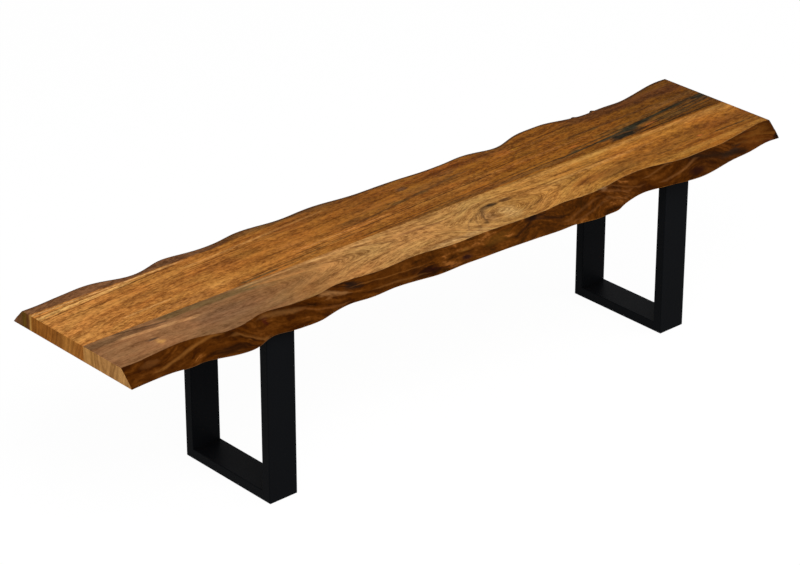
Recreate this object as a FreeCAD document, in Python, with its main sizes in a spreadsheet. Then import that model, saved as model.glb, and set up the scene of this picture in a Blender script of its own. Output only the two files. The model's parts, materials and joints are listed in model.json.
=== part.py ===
import FreeCAD, Part

import os

import Sketcher

# A live edge bench. Two boards, glued edge to edge, make the seat. Each of the two U-shaped legs is
# welded up from flat steel tube with 45 degree corners and closed at the top by a mounting plate,
# which is bolted into threaded inserts in the underside of the boards. The legs stand on glides.
#
# Frame: millimetres, +Z up, +X along the bench towards its right end, +Y towards its rear edge. The
# origin is on the floor, under the middle of the seat.

# Name, value and meaning of every size. The sheet holds them and every feature is bound to them.
SIZES = (
    ("bench_length", 2000, "seat, end to end"),
    ("seat_height", 465, "floor to the top of the seat"),
    ("slab_thickness", 38, "thickness of the boards"),
    ("top_width", 358, "width of the flat top, live edge to live edge"),
    ("wave_depth", 25, "swing of the live edges to either side of their mean lines"),
    ("foot_flare", 42, "how far the foot of a live edge stands out past its top"),
    ("rear_bulge", 1, "roundness of the rear live edge at half thickness"),
    ("front_bulge", 1.5, "roundness of the front live edge at half thickness"),
    ("joint_setback", 25, "glue line in front of the middle of the seat"),
    ("joint_slant", 8, "how far the glue line drifts rearwards from end to end"),
    ("left_overhang", 370, "left end of the seat past the outer side of the left leg"),
    ("right_overhang", 300, "right end of the seat past the outer side of the right leg"),
    ("leg_shift_across", 41, "middle of the legs, in front of the middle of the seat"),
    ("leg_depth", 300, "leg, front to rear"),
    ("tube_width", 80, "wide side of the tube, along the bench"),
    ("tube_thickness", 25, "narrow side of the tube"),
    ("tube_wall", 2, "wall of the tube"),
    ("tube_corner", 2, "outer corner radius of the tube"),
    ("plate_width", 120, "mounting plate, along the bench"),
    ("plate_inset", 5, "ends of the plate inside the outer faces of the uprights"),
    ("plate_thickness", 5, "mounting plate"),
    ("plate_corner", 8, "corner radius of the plate"),
    ("bolt_edge_distance", 20, "bolt to the long edge of the plate"),
    ("bolt_tube_distance", 33, "bolt to the inner face of the nearest upright"),
    ("slot_travel", 8, "how far a bolt can shift in its slot as the wood moves"),
    ("slot_clearance", 1, "slot wider than the bolt"),
    ("bolt_diameter", 8, "thread of the bolt"),
    ("bolt_length", 20, "bolt under its head"),
    ("bolt_chamfer", 1, "tip of the bolt"),
    ("head_diameter", 14, "head of the bolt"),
    ("head_height", 4.4, "head of the bolt"),
    ("head_rim", 1.4, "straight side of the head below its dome"),
    ("socket_corners", 5.8, "hexagon socket, corner to corner"),
    ("socket_depth", 2.6, "hexagon socket"),
    ("washer_diameter", 24, "washer"),
    ("washer_thickness", 2, "washer"),
    ("washer_clearance", 0.4, "hole of the washer wider than the bolt"),
    ("insert_diameter", 12, "threaded insert"),
    ("insert_length", 16, "threaded insert"),
    ("thread_clearance", 0.2, "bolt in its insert and insert in its bore, on the diameter"),
    ("bore_spare", 4, "bore deeper than its insert"),
    ("glide_diameter", 22, "pad of a glide"),
    ("glide_thickness", 2.5, "pad of a glide"),
    ("glide_rounding", 0.8, "lower rim of a glide"),
    ("glide_inset", 40, "middle of a glide from the outer face of its upright"),
    ("stem_diameter", 8, "stem of a glide"),
    ("stem_length", 8, "stem of a glide"),
    ("stem_clearance", 0.2, "stem in its hole, on the diameter"),
    ("cut_overrun", 1, "how far a cut runs past the face it starts from"),
)

# The two live edges at stations along the bench. Each row gives the share of the bench's length from
# its left end, the shares of wave_depth by which the front and the rear edge lie rearwards of their
# mean lines, and the shares of foot_flare by which they stand out further at the underside.
EDGE_SHARES = (
    (0.000, 0.58, 0.55, 0.82, 0.83),
    (0.022, 0.56, 0.58, 0.74, 0.88),
    (0.042, 0.70, 0.72, 0.80, 0.97),
    (0.062, 0.84, 0.84, 0.94, 1.07),
    (0.082, 0.92, 0.93, 1.13, 1.13),
    (0.092, 0.84, 0.88, 1.04, 1.12),
    (0.112, 0.54, 0.50, 1.06, 1.06),
    (0.132, -0.01, -0.02, 1.04, 0.98),
    (0.147, -0.11, -0.13, 1.10, 0.94),
    (0.162, 0.05, 0.06, 1.13, 0.96),
    (0.182, 0.48, 0.53, 1.02, 1.02),
    (0.192, 0.60, 0.64, 1.01, 1.05),
    (0.212, 0.42, 0.45, 1.08, 1.10),
    (0.232, 0.18, 0.19, 1.05, 1.12),
    (0.252, 0.11, 0.12, 1.01, 1.09),
    (0.272, 0.21, 0.27, 0.85, 1.00),
    (0.292, 0.54, 0.56, 0.86, 0.94),
    (0.307, 0.59, 0.61, 0.86, 0.90),
    (0.322, 0.49, 0.50, 0.91, 0.87),
    (0.342, 0.21, 0.26, 0.79, 0.85),
    (0.362, 0.13, 0.16, 0.69, 0.86),
    (0.382, 0.22, 0.25, 0.81, 0.91),
    (0.407, 0.31, 0.32, 1.06, 1.00),
    (0.422, 0.25, 0.23, 1.14, 1.06),
    (0.442, 0.00, 0.00, 1.02, 1.12),
    (0.462, -0.22, -0.20, 0.86, 1.10),
    (0.492, -0.25, -0.27, 0.90, 1.00),
    (0.532, -0.34, -0.35, 0.91, 0.92),
    (0.552, -0.47, -0.47, 0.90, 0.88),
    (0.572, -0.57, -0.59, 0.90, 0.86),
    (0.592, -0.60, -0.61, 0.97, 0.89),
    (0.612, -0.55, -0.55, 1.06, 0.94),
    (0.637, -0.40, -0.42, 1.17, 1.00),
    (0.662, -0.60, -0.76, 1.29, 0.98),
    (0.675, -0.64, -1.03, 1.29, 0.96),
    (0.687, -0.62, -1.12, 1.30, 0.93),
    (0.699, -0.55, -0.97, 1.31, 0.90),
    (0.712, -0.42, -0.63, 1.15, 0.88),
    (0.732, -0.15, -0.15, 1.02, 0.88),
    (0.762, 0.02, 0.00, 0.94, 0.88),
    (0.782, -0.06, -0.06, 1.05, 0.85),
    (0.802, -0.40, -0.47, 1.03, 0.92),
    (0.822, -0.79, -0.88, 1.01, 0.96),
    (0.842, -0.93, -1.06, 1.04, 1.00),
    (0.862, -0.88, -0.98, 1.00, 1.04),
    (0.882, -0.88, -0.99, 0.84, 1.06),
    (0.902, -0.86, -1.04, 0.69, 1.02),
    (0.922, -0.64, -0.81, 0.73, 0.96),
    (0.942, -0.38, -0.47, 0.80, 0.94),
    (0.962, -0.11, -0.12, 0.79, 0.90),
    (0.982, 0.10, 0.10, 0.80, 0.88),
    (1.000, 0.02, 0.08, 0.82, 0.87),
)

# Which side of the middle each leg, and each end of a leg, lies on.
LEG_SIDES = {"left": -1, "right": 1}
LEG_ENDS = {"front": -1, "rear": 1}

# Places that several pieces share, as formulas on the sizes in the sheet.
UNDERSIDE = "(Sizes.seat_height - Sizes.slab_thickness)"
PLATE_UNDERSIDE = f"({UNDERSIDE} - Sizes.plate_thickness)"
WASHER_UNDERSIDE = f"({PLATE_UNDERSIDE} - Sizes.washer_thickness)"
BOLT_HALF_ALONG = "(Sizes.plate_width / 2 - Sizes.bolt_edge_distance)"
BOLT_HALF_ACROSS = "(Sizes.leg_depth / 2 - Sizes.tube_thickness - Sizes.bolt_tube_distance)"
GLIDE_HALF_ACROSS = "(Sizes.leg_depth / 2 - Sizes.glide_inset)"

UP = FreeCAD.Vector(0, 0, 1)
REARWARDS = FreeCAD.Vector(0, 1, 0)
ORIGIN = ("0", "0")
NEARLY_ZERO = 1e-6

document = FreeCAD.newDocument("live_edge_bench")
sheet = document.addObject("Spreadsheet::Sheet", "Sizes")
for row, (alias, value, meaning) in enumerate(SIZES, start=1):
    sheet.set(f"A{row}", alias)
    sheet.set(f"B{row}", str(value))
    sheet.setAlias(f"B{row}", alias)
    sheet.set(f"C{row}", meaning)
document.recompute()

pieces = []


def leg_middle(side):
    """Give the formulas for the middle of a leg, along and across the bench."""
    overhang = "Sizes.left_overhang" if side < 0 else "Sizes.right_overhang"
    reach = f"(Sizes.bench_length / 2 - {overhang} - Sizes.tube_width / 2)"
    return (f"({side} * {reach})", "(-Sizes.leg_shift_across)")


def new_body(label):
    """Add an empty body that becomes the piece of this name."""
    body = document.addObject("PartDesign::Body", label)
    body.Label = label
    pieces.append(body)
    return body


def place(body, along, across, height, turn=0):
    """Turn a body about its vertical axis and bind its place to three formulas."""
    body.Placement = FreeCAD.Placement(FreeCAD.Vector(), FreeCAD.Rotation(UP, turn))
    body.setExpression("Placement.Base.x", along)
    body.setExpression("Placement.Base.y", across)
    body.setExpression("Placement.Base.z", height)
    document.recompute()


def new_sketch(body, plane, name, offset=("0", "0", "0")):
    """Add a sketch on an origin plane of its body, moved by formulas along its own axes."""
    sketch = body.newObject("Sketcher::SketchObject", name)
    origin_plane = next(item for item in body.Origin.OriginFeatures if item.Role == plane)
    sketch.AttachmentSupport = [(origin_plane, "")]
    sketch.MapMode = "FlatFace"
    for axis, formula in zip("xyz", offset):
        sketch.setExpression(f"AttachmentOffset.Base.{axis}", formula)
    return sketch


def spot(sketch, formulas):
    """Work out the point of a sketch that a pair of formulas gives."""
    across, up = (float(sketch.evalExpression(formula)) for formula in formulas)
    return FreeCAD.Vector(across, up, 0)


def dimension(sketch, kind, geometry, formula, name):
    """Add a dimension to a sketch and bind it to a formula."""
    value = float(sketch.evalExpression(formula))
    index = sketch.addConstraint(Sketcher.Constraint(kind, *geometry, value))
    sketch.renameConstraint(index, name)
    sketch.setExpression(f"Constraints.{name}", formula)


def place_point(sketch, geometry, formulas, name):
    """Dimension a point of a sketch from the sketch's origin."""
    dimension(sketch, "DistanceX", (-1, 1, *geometry), formulas[0], f"{name}_across")
    dimension(sketch, "DistanceY", (-1, 1, *geometry), formulas[1], f"{name}_up")


def join_lines(sketch, lines):
    """Join each line of a closed run to the next one."""
    for line, following in zip(lines, lines[1:] + lines[:1]):
        sketch.addConstraint(Sketcher.Constraint("Coincident", line, 2, following, 1))


def draw_outline(sketch, corners, name):
    """Draw a closed run of lines between corners that are pairs of formulas."""
    points = [spot(sketch, corner) for corner in corners]
    lines = []
    for start, end in zip(points, points[1:] + points[:1]):
        lines.append(sketch.addGeometry(Part.LineSegment(start, end), False))
    join_lines(sketch, lines)
    for number, (line, corner) in enumerate(zip(lines, corners)):
        place_point(sketch, (line, 1), corner, f"{name}_{number}")


def draw_rectangle(sketch, low, high, name):
    """Draw a rectangle between its low and high corners, each a pair of formulas."""
    draw_outline(sketch, (low, (high[0], low[1]), high, (low[0], high[1])), name)


def draw_circle(sketch, centre, diameter, name, construction=False):
    """Draw a circle whose centre and diameter are formulas, and return its number."""
    radius = float(sketch.evalExpression(diameter)) / 2
    circle = sketch.addGeometry(Part.Circle(spot(sketch, centre), UP, radius), construction)
    place_point(sketch, (circle, 3), centre, name)
    dimension(sketch, "Diameter", (circle,), diameter, f"{name}_diameter")
    return circle


def draw_hexagon(sketch, across_corners, name):
    """Draw a regular hexagon about the sketch's origin, one corner on its horizontal axis."""
    circle = draw_circle(sketch, ORIGIN, across_corners, name, construction=True)
    reach = FreeCAD.Vector(float(sketch.evalExpression(across_corners)) / 2, 0, 0)
    corners = [FreeCAD.Rotation(UP, 60 * number).multVec(reach) for number in range(6)]
    lines = []
    for start, end in zip(corners, corners[1:] + corners[:1]):
        lines.append(sketch.addGeometry(Part.LineSegment(start, end), False))
    join_lines(sketch, lines)
    for line in lines:
        sketch.addConstraint(Sketcher.Constraint("PointOnObject", line, 1, circle))
    for line in lines[1:]:
        sketch.addConstraint(Sketcher.Constraint("Equal", lines[0], line))
    sketch.addConstraint(Sketcher.Constraint("PointOnObject", lines[0], 1, -1))


def draw_slot(sketch, travel, width, name):
    """Draw a round-ended slot about the sketch's origin, along its vertical axis."""
    radius = float(sketch.evalExpression(width)) / 2
    ends = (("0", f"-({travel}) / 2"), ("0", f"({travel}) / 2"))
    low, high = (spot(sketch, end) for end in ends)
    side = FreeCAD.Vector(radius, 0, 0)
    half_turn = Part.Arc(low - side, low - FreeCAD.Vector(0, radius, 0), low + side)
    low_arc = sketch.addGeometry(half_turn, False)
    right_line = sketch.addGeometry(Part.LineSegment(low + side, high + side), False)
    half_turn = Part.Arc(high + side, high + FreeCAD.Vector(0, radius, 0), high - side)
    high_arc = sketch.addGeometry(half_turn, False)
    left_line = sketch.addGeometry(Part.LineSegment(high - side, low - side), False)
    run = (low_arc, right_line, high_arc, left_line)
    for piece, following in zip(run, run[1:] + run[:1]):
        sketch.addConstraint(Sketcher.Constraint("Tangent", piece, 2, following, 1))
    sketch.addConstraint(Sketcher.Constraint("Equal", low_arc, high_arc))
    place_point(sketch, (low_arc, 3), ends[0], f"{name}_low")
    place_point(sketch, (high_arc, 3), ends[1], f"{name}_high")
    dimension(sketch, "Radius", (low_arc,), f"({width}) / 2", f"{name}_radius")


def pad(body, sketch, length, name, both_ways=False, down=False):
    """Extrude a sketch by a formula, up, down or to both sides of its plane."""
    feature = body.newObject("PartDesign::Pad", name)
    feature.Profile = sketch
    feature.Midplane = both_ways
    feature.Reversed = down
    feature.setExpression("Length", length)
    document.recompute()
    return feature


def pocket(body, sketch, depth, name, both_ways=False, up=False):
    """Cut a sketch out of its body by a formula's depth, and refuse a cut that removes nothing."""
    before = body.Shape
    feature = body.newObject("PartDesign::Pocket", name)
    feature.Profile = sketch
    feature.Midplane = both_ways
    feature.Reversed = up
    feature.setExpression("Length", depth)
    document.recompute()
    same_faces = len(body.Shape.Faces) == len(before.Faces)
    if same_faces and not body.Shape.Volume < before.Volume:
        raise RuntimeError(f"{name} in {body.Label} removes nothing")
    return feature


def outer_edges(feature, direction):
    """Name the edges of a feature that run along a direction on its two outermost sides."""
    reach = max(abs(point.X) for point in feature.Shape.Vertexes)
    names = []
    for number, edge in enumerate(feature.Shape.Edges, start=1):
        run = edge.Vertexes[-1].Point - edge.Vertexes[0].Point
        outermost = all(abs(abs(point.X) - reach) < NEARLY_ZERO for point in edge.Vertexes)
        if outermost and run.cross(direction).Length < NEARLY_ZERO < run.Length:
            names.append(f"Edge{number}")
    return names


def rim_edges(feature, height):
    """Name the round edges of a feature that lie at a height in its body."""
    names = []
    for number, edge in enumerate(feature.Shape.Edges, start=1):
        level = all(abs(point.Z - height) < NEARLY_ZERO for point in edge.Vertexes)
        if level and len(edge.Vertexes) == 1:
            names.append(f"Edge{number}")
    return names


def dress(body, kind, feature, edges, measure, formula, name):
    """Fillet or chamfer named edges of a feature, with its radius or size bound to a formula."""
    dressing = body.newObject(kind, name)
    dressing.Base = (feature, edges)
    dressing.setExpression(measure, formula)
    document.recompute()
    return dressing


def repeat_at_bolts(body, sketch, name, originals=()):
    """Repeat features, or the whole body if none are named, at the four bolts of a plate."""
    pattern = body.newObject("PartDesign::LinearPattern", name)
    if originals:
        pattern.Originals = list(originals)
    else:
        pattern.TransformMode = "Whole shape"
    pattern.Direction = (sketch, ["H_Axis"])
    pattern.Direction2 = (sketch, ["V_Axis"])
    pattern.Occurrences = 2
    pattern.Occurrences2 = 2
    pattern.setExpression("Length", f"{BOLT_HALF_ALONG} * 2")
    pattern.setExpression("Length2", f"{BOLT_HALF_ACROSS} * 2")
    body.Tip = pattern
    document.recompute()


def edge_curve(rearwards, lift):
    """Give one line of a live edge, from the underside at a lift of 0 to the top at a lift of 1.

    At the top each edge waves about a line half the top's width from the middle. Below the top it
    moves out by its share of the flare, and by the bulge, which is whole at half height.
    """
    side = 1 if rearwards else -1
    bulge = sheet.rear_bulge if rearwards else sheet.front_bulge
    points = []
    for along, front_wave, rear_wave, front_foot, rear_foot in EDGE_SHARES:
        wave, foot = (rear_wave, rear_foot) if rearwards else (front_wave, front_foot)
        outwards = sheet.top_width / 2 + sheet.foot_flare * foot * (1 - lift) + bulge * 4 * lift * (1 - lift)
        points.append(FreeCAD.Vector(
            sheet.bench_length * (along - 1 / 2),
            side * outwards + sheet.wave_depth * wave,
            sheet.seat_height - sheet.slab_thickness * (1 - lift),
        ))
    curve = Part.BSplineCurve()
    curve.interpolate(Points=points, Parameters=[row[0] for row in EDGE_SHARES])
    return curve.toShape()


def board_blank(rearwards):
    """Build the solid of one board: a live edge surface closed by flat faces down to the glue line.

    The live edge is lofted through its lines at the underside, half height and top.
    """
    lines = [edge_curve(rearwards, lift) for lift in (0, 1 / 2, 1)]
    live_face = Part.makeLoft([Part.Wire(line) for line in lines], False, False).Faces[0]
    half_length = sheet.bench_length / 2
    ends = {}
    for end in (-1, 1):
        across = -sheet.joint_setback + end * sheet.joint_slant / 2
        low = FreeCAD.Vector(end * half_length, across, sheet.seat_height - sheet.slab_thickness)
        high = FreeCAD.Vector(end * half_length, across, sheet.seat_height)
        end_line = next(
            edge for edge in live_face.Edges
            if all(abs(point.X - end * half_length) < NEARLY_ZERO for point in edge.Vertexes)
        )
        foot, lip = sorted((point.Point for point in end_line.Vertexes), key=lambda point: point.z)
        ends[end] = {
            "low": low,
            "high": high,
            "live": end_line,
            "under": Part.makeLine(low, foot),
            "over": Part.makeLine(high, lip),
            "joint": Part.makeLine(low, high),
        }
    low_joint = Part.makeLine(ends[-1]["low"], ends[1]["low"])
    high_joint = Part.makeLine(ends[-1]["high"], ends[1]["high"])
    outlines = (
        [lines[0], ends[1]["under"], low_joint, ends[-1]["under"]],
        [lines[-1], ends[1]["over"], high_joint, ends[-1]["over"]],
        [low_joint, ends[1]["joint"], high_joint, ends[-1]["joint"]],
        [ends[-1][name] for name in ("live", "over", "joint", "under")],
        [ends[1][name] for name in ("live", "over", "joint", "under")],
    )
    faces = [Part.Face(Part.Wire(Part.__sortEdges__(outline))) for outline in outlines]
    shell = Part.Shell([live_face] + faces)
    shell.sewShape()
    solid = Part.Solid(shell)
    if solid.Volume < 0:
        solid.reverse()
    return solid


def make_board(end):
    """Make the front or rear board: its blank, with a blind bore for each insert that it holds."""
    blank = document.addObject("Part::Feature", f"{end}_board_blank")
    blank.Shape = board_blank(rearwards=LEG_ENDS[end] > 0)
    body = new_body(f"{end}_board")
    body.BaseFeature = blank
    document.recompute()
    sketch = new_sketch(body, "XY_Plane", "bore_places", ("0", "0", UNDERSIDE))
    diameter = "Sizes.insert_diameter + Sizes.thread_clearance"
    for leg, side in LEG_SIDES.items():
        along, across = leg_middle(side)
        row_place = f"{across} + {LEG_ENDS[end]} * {BOLT_HALF_ACROSS}"
        for bolt, direction in LEG_SIDES.items():
            centre = (f"{along} + {direction} * {BOLT_HALF_ALONG}", row_place)
            draw_circle(sketch, centre, diameter, f"{leg}_leg_{bolt}_bore")
    pocket(body, sketch, "Sizes.insert_length + Sizes.bore_spare", "insert_bores", up=True)


def draw_tube_section(sketch):
    """Draw the tube's outer and inner outline, centred across and standing on the sketch's axis."""
    half_width = "Sizes.tube_width / 2"
    outer = (f"-{half_width}", "0"), (half_width, "Sizes.tube_thickness")
    inner_low = (f"-({half_width} - Sizes.tube_wall)", "Sizes.tube_wall")
    inner_high = (f"{half_width} - Sizes.tube_wall", "Sizes.tube_thickness - Sizes.tube_wall")
    draw_rectangle(sketch, *outer, "outer")
    draw_rectangle(sketch, inner_low, inner_high, "inner")


def make_upright(leg, side, end):
    """Make an upright: tube with its foot cut at 45 degrees, outer face on its body's XZ plane."""
    body = new_body(f"{leg}_{end}_upright")
    section = new_sketch(body, "XY_Plane", "section")
    draw_tube_section(section)
    tube = pad(body, section, f"{PLATE_UNDERSIDE} - Sizes.glide_thickness", "tube")
    corners = outer_edges(tube, UP)
    dress(body, "PartDesign::Fillet", tube, corners, "Radius", "Sizes.tube_corner", "tube_corners")
    past = "Sizes.tube_thickness + Sizes.cut_overrun"
    short = "-Sizes.cut_overrun"
    mitre = new_sketch(body, "YZ_Plane", "mitre")
    draw_outline(mitre, ((short, short), (past, short), (past, past)), "mitre")
    pocket(body, mitre, "Sizes.tube_width + Sizes.cut_overrun", "mitre_cut", both_ways=True)
    along, across = leg_middle(side)
    outer_face = f"{across} + {LEG_ENDS[end]} * Sizes.leg_depth / 2"
    place(body, along, outer_face, "Sizes.glide_thickness", turn=180 if LEG_ENDS[end] > 0 else 0)


def make_bottom_rail(leg, side):
    """Make a bottom rail: tube with both ends cut at 45 degrees and a hole for each glide's stem."""
    body = new_body(f"{leg}_bottom_rail")
    section = new_sketch(body, "XZ_Plane", "section")
    draw_tube_section(section)
    tube = pad(body, section, "Sizes.leg_depth", "tube", both_ways=True)
    corners = outer_edges(tube, REARWARDS)
    dress(body, "PartDesign::Fillet", tube, corners, "Radius", "Sizes.tube_corner", "tube_corners")
    mitres = new_sketch(body, "YZ_Plane", "mitres")
    high = "Sizes.tube_thickness + Sizes.cut_overrun"
    for end, sign in LEG_ENDS.items():
        tip = f"{sign} * (Sizes.leg_depth / 2 + Sizes.cut_overrun)"
        inner = f"{sign} * (Sizes.leg_depth / 2 - Sizes.tube_thickness - Sizes.cut_overrun)"
        draw_outline(mitres, ((tip, "-Sizes.cut_overrun"), (inner, high), (tip, high)), end)
    pocket(body, mitres, "Sizes.tube_width + Sizes.cut_overrun", "mitre_cuts", both_ways=True)
    holes = new_sketch(body, "XY_Plane", "stem_holes")
    for end, sign in LEG_ENDS.items():
        centre = ("0", f"{sign} * {GLIDE_HALF_ACROSS}")
        draw_circle(holes, centre, "Sizes.stem_diameter + Sizes.stem_clearance", end)
    pocket(body, holes, "Sizes.tube_wall + Sizes.cut_overrun", "stem_hole_cuts", up=True)
    along, across = leg_middle(side)
    place(body, along, across, "Sizes.glide_thickness")


def make_mounting_plate(leg, side):
    """Make the plate that closes a leg at the top, with a slot across the bench at each bolt."""
    body = new_body(f"{leg}_mounting_plate")
    outline = new_sketch(body, "XY_Plane", "outline")
    half_width = "Sizes.plate_width / 2"
    half_depth = "(Sizes.leg_depth / 2 - Sizes.plate_inset)"
    draw_rectangle(outline, (f"-{half_width}", f"-{half_depth}"), (half_width, half_depth), "outline")
    plate = pad(body, outline, "Sizes.plate_thickness", "plate")
    corners = outer_edges(plate, UP)
    dress(body, "PartDesign::Fillet", plate, corners, "Radius", "Sizes.plate_corner", "plate_corners")
    slot = new_sketch(body, "XY_Plane", "slot", (f"-{BOLT_HALF_ALONG}", f"-{BOLT_HALF_ACROSS}", "0"))
    draw_slot(slot, "Sizes.slot_travel", "Sizes.bolt_diameter + Sizes.slot_clearance", "slot")
    cut = pocket(body, slot, "Sizes.plate_thickness + Sizes.cut_overrun", "slot_cut", up=True)
    repeat_at_bolts(body, slot, "slots", [cut])
    along, across = leg_middle(side)
    place(body, along, across, PLATE_UNDERSIDE)


def place_at_first_bolt(body, side, height):
    """Put a group of fasteners where its first one stands on the low corner bolt of a leg."""
    along, across = leg_middle(side)
    place(body, f"{along} - {BOLT_HALF_ALONG}", f"{across} - {BOLT_HALF_ACROSS}", height)


def make_rings(label, outer, inner, length, side, height):
    """Make four rings, one at each bolt of a leg, standing at a height."""
    body = new_body(label)
    section = new_sketch(body, "XY_Plane", "section")
    draw_circle(section, ORIGIN, outer, "outer")
    draw_circle(section, ORIGIN, inner, "inner")
    pad(body, section, length, "ring")
    repeat_at_bolts(body, section, "rings")
    place_at_first_bolt(body, side, height)


def make_bolts(leg, side):
    """Make the four bolts of a leg, each with a domed head below and a hexagon socket in it."""
    body = new_body(f"{leg}_bolts")
    head_outline = new_sketch(body, "XY_Plane", "head_outline")
    draw_circle(head_outline, ORIGIN, "Sizes.head_diameter", "head")
    head = pad(body, head_outline, "Sizes.head_height", "head", down=True)
    rim = rim_edges(head, -sheet.head_height)
    dress(body, "PartDesign::Fillet", head, rim, "Radius", "Sizes.head_height - Sizes.head_rim", "head_dome")
    shank_outline = new_sketch(body, "XY_Plane", "shank_outline")
    draw_circle(shank_outline, ORIGIN, "Sizes.bolt_diameter", "shank")
    shank = pad(body, shank_outline, "Sizes.bolt_length", "shank")
    tip = rim_edges(shank, sheet.bolt_length)
    dress(body, "PartDesign::Chamfer", shank, tip, "Size", "Sizes.bolt_chamfer", "shank_tip")
    socket = new_sketch(body, "XY_Plane", "socket", ("0", "0", "-Sizes.head_height"))
    draw_hexagon(socket, "Sizes.socket_corners", "socket")
    pocket(body, socket, "Sizes.socket_depth", "socket_cut", up=True)
    repeat_at_bolts(body, socket, "bolts")
    place_at_first_bolt(body, side, WASHER_UNDERSIDE)


def make_glide(leg, side, end):
    """Make a glide: a round pad under the rail with a stem pressed into the rail's lower wall."""
    body = new_body(f"{leg}_{end}_glide")
    pad_outline = new_sketch(body, "XY_Plane", "pad_outline")
    draw_circle(pad_outline, ORIGIN, "Sizes.glide_diameter", "pad")
    foot = pad(body, pad_outline, "Sizes.glide_thickness", "pad")
    rim = rim_edges(foot, 0)
    dress(body, "PartDesign::Fillet", foot, rim, "Radius", "Sizes.glide_rounding", "pad_rim")
    stem_outline = new_sketch(body, "XY_Plane", "stem_outline", ("0", "0", "Sizes.glide_thickness"))
    draw_circle(stem_outline, ORIGIN, "Sizes.stem_diameter", "stem")
    pad(body, stem_outline, "Sizes.stem_length", "stem")
    along, across = leg_middle(side)
    place(body, along, f"{across} + {LEG_ENDS[end]} * {GLIDE_HALF_ACROSS}", "0")


def make_leg(leg, side):
    """Make every piece of one leg and the fasteners that hold it to the seat."""
    for end in LEG_ENDS:
        make_upright(leg, side, end)
        make_glide(leg, side, end)
    make_bottom_rail(leg, side)
    make_mounting_plate(leg, side)
    make_bolts(leg, side)
    bolt = "Sizes.bolt_diameter"
    make_rings(
        f"{leg}_washers", "Sizes.washer_diameter", f"{bolt} + Sizes.washer_clearance",
        "Sizes.washer_thickness", side, WASHER_UNDERSIDE,
    )
    make_rings(
        f"{leg}_threaded_inserts", "Sizes.insert_diameter", f"{bolt} + Sizes.thread_clearance",
        "Sizes.insert_length", side, UNDERSIDE,
    )


def check_document():
    """Stop if an object failed to compute or a piece has no valid shape."""
    for item in document.Objects:
        if "Invalid" in item.State or "Error" in item.State:
            raise RuntimeError(f"{item.Label} failed: {item.State}")
    for piece in pieces:
        if piece.Shape.isNull() or not piece.Shape.isValid():
            raise RuntimeError(f"{piece.Label} has no valid shape")


def write_pieces():
    """Write each piece to its own file and print what it holds."""
    os.makedirs("parts", exist_ok=True)
    for piece in pieces:
        piece.Shape.exportStep(os.path.join("parts", f"{piece.Label}.step"))
        print(piece.Label, len(piece.Shape.Solids), "solids", round(piece.Shape.Volume), "mm3")


for board_end in LEG_ENDS:
    make_board(board_end)
for leg_name, leg_side in LEG_SIDES.items():
    make_leg(leg_name, leg_side)
document.recompute()
check_document()
write_pieces()
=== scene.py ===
"""Looks of the live edge bench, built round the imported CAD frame.

The two boards are drawn again as fine surfaces with an eased lip, a worked live edge and wood figure
that runs through the whole board. The steel legs, their fixings and the glides keep their CAD shape
and get their finishes here, with the weld beads under the seat added. Lengths are metres; x runs
along the bench to its right end, y to its rear edge and z up.
"""

import json
import logging
import math
from dataclasses import dataclass
from enum import Enum
from typing import Dict, List, Optional, Sequence, Tuple, Union

import bpy
import numpy as np
from bpy.types import Material, Mesh, NodeSocket, NodeTree, Object
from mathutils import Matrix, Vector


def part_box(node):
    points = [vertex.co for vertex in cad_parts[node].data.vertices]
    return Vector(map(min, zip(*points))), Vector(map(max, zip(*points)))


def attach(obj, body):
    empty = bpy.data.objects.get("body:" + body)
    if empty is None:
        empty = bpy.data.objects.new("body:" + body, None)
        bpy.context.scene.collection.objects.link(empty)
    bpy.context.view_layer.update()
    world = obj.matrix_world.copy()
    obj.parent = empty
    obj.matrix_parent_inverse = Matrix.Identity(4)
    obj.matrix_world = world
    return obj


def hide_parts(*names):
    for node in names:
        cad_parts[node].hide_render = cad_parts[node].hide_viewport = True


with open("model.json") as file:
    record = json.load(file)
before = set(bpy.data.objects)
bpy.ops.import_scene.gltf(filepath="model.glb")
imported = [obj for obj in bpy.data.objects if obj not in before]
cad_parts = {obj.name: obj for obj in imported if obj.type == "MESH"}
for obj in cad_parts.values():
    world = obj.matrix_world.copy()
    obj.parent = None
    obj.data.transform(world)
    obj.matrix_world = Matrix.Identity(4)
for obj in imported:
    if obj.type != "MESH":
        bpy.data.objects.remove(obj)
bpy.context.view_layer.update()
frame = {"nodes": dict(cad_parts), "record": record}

log = logging.getLogger("live_edge_bench")

Value = Union[float, NodeSocket]
Colour = Tuple[float, float, float, float]
Pair = Tuple[float, float]
Point = Tuple[float, float, float]
Stops = Tuple[Tuple[float, Colour], ...]

BODY = "root"

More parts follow.
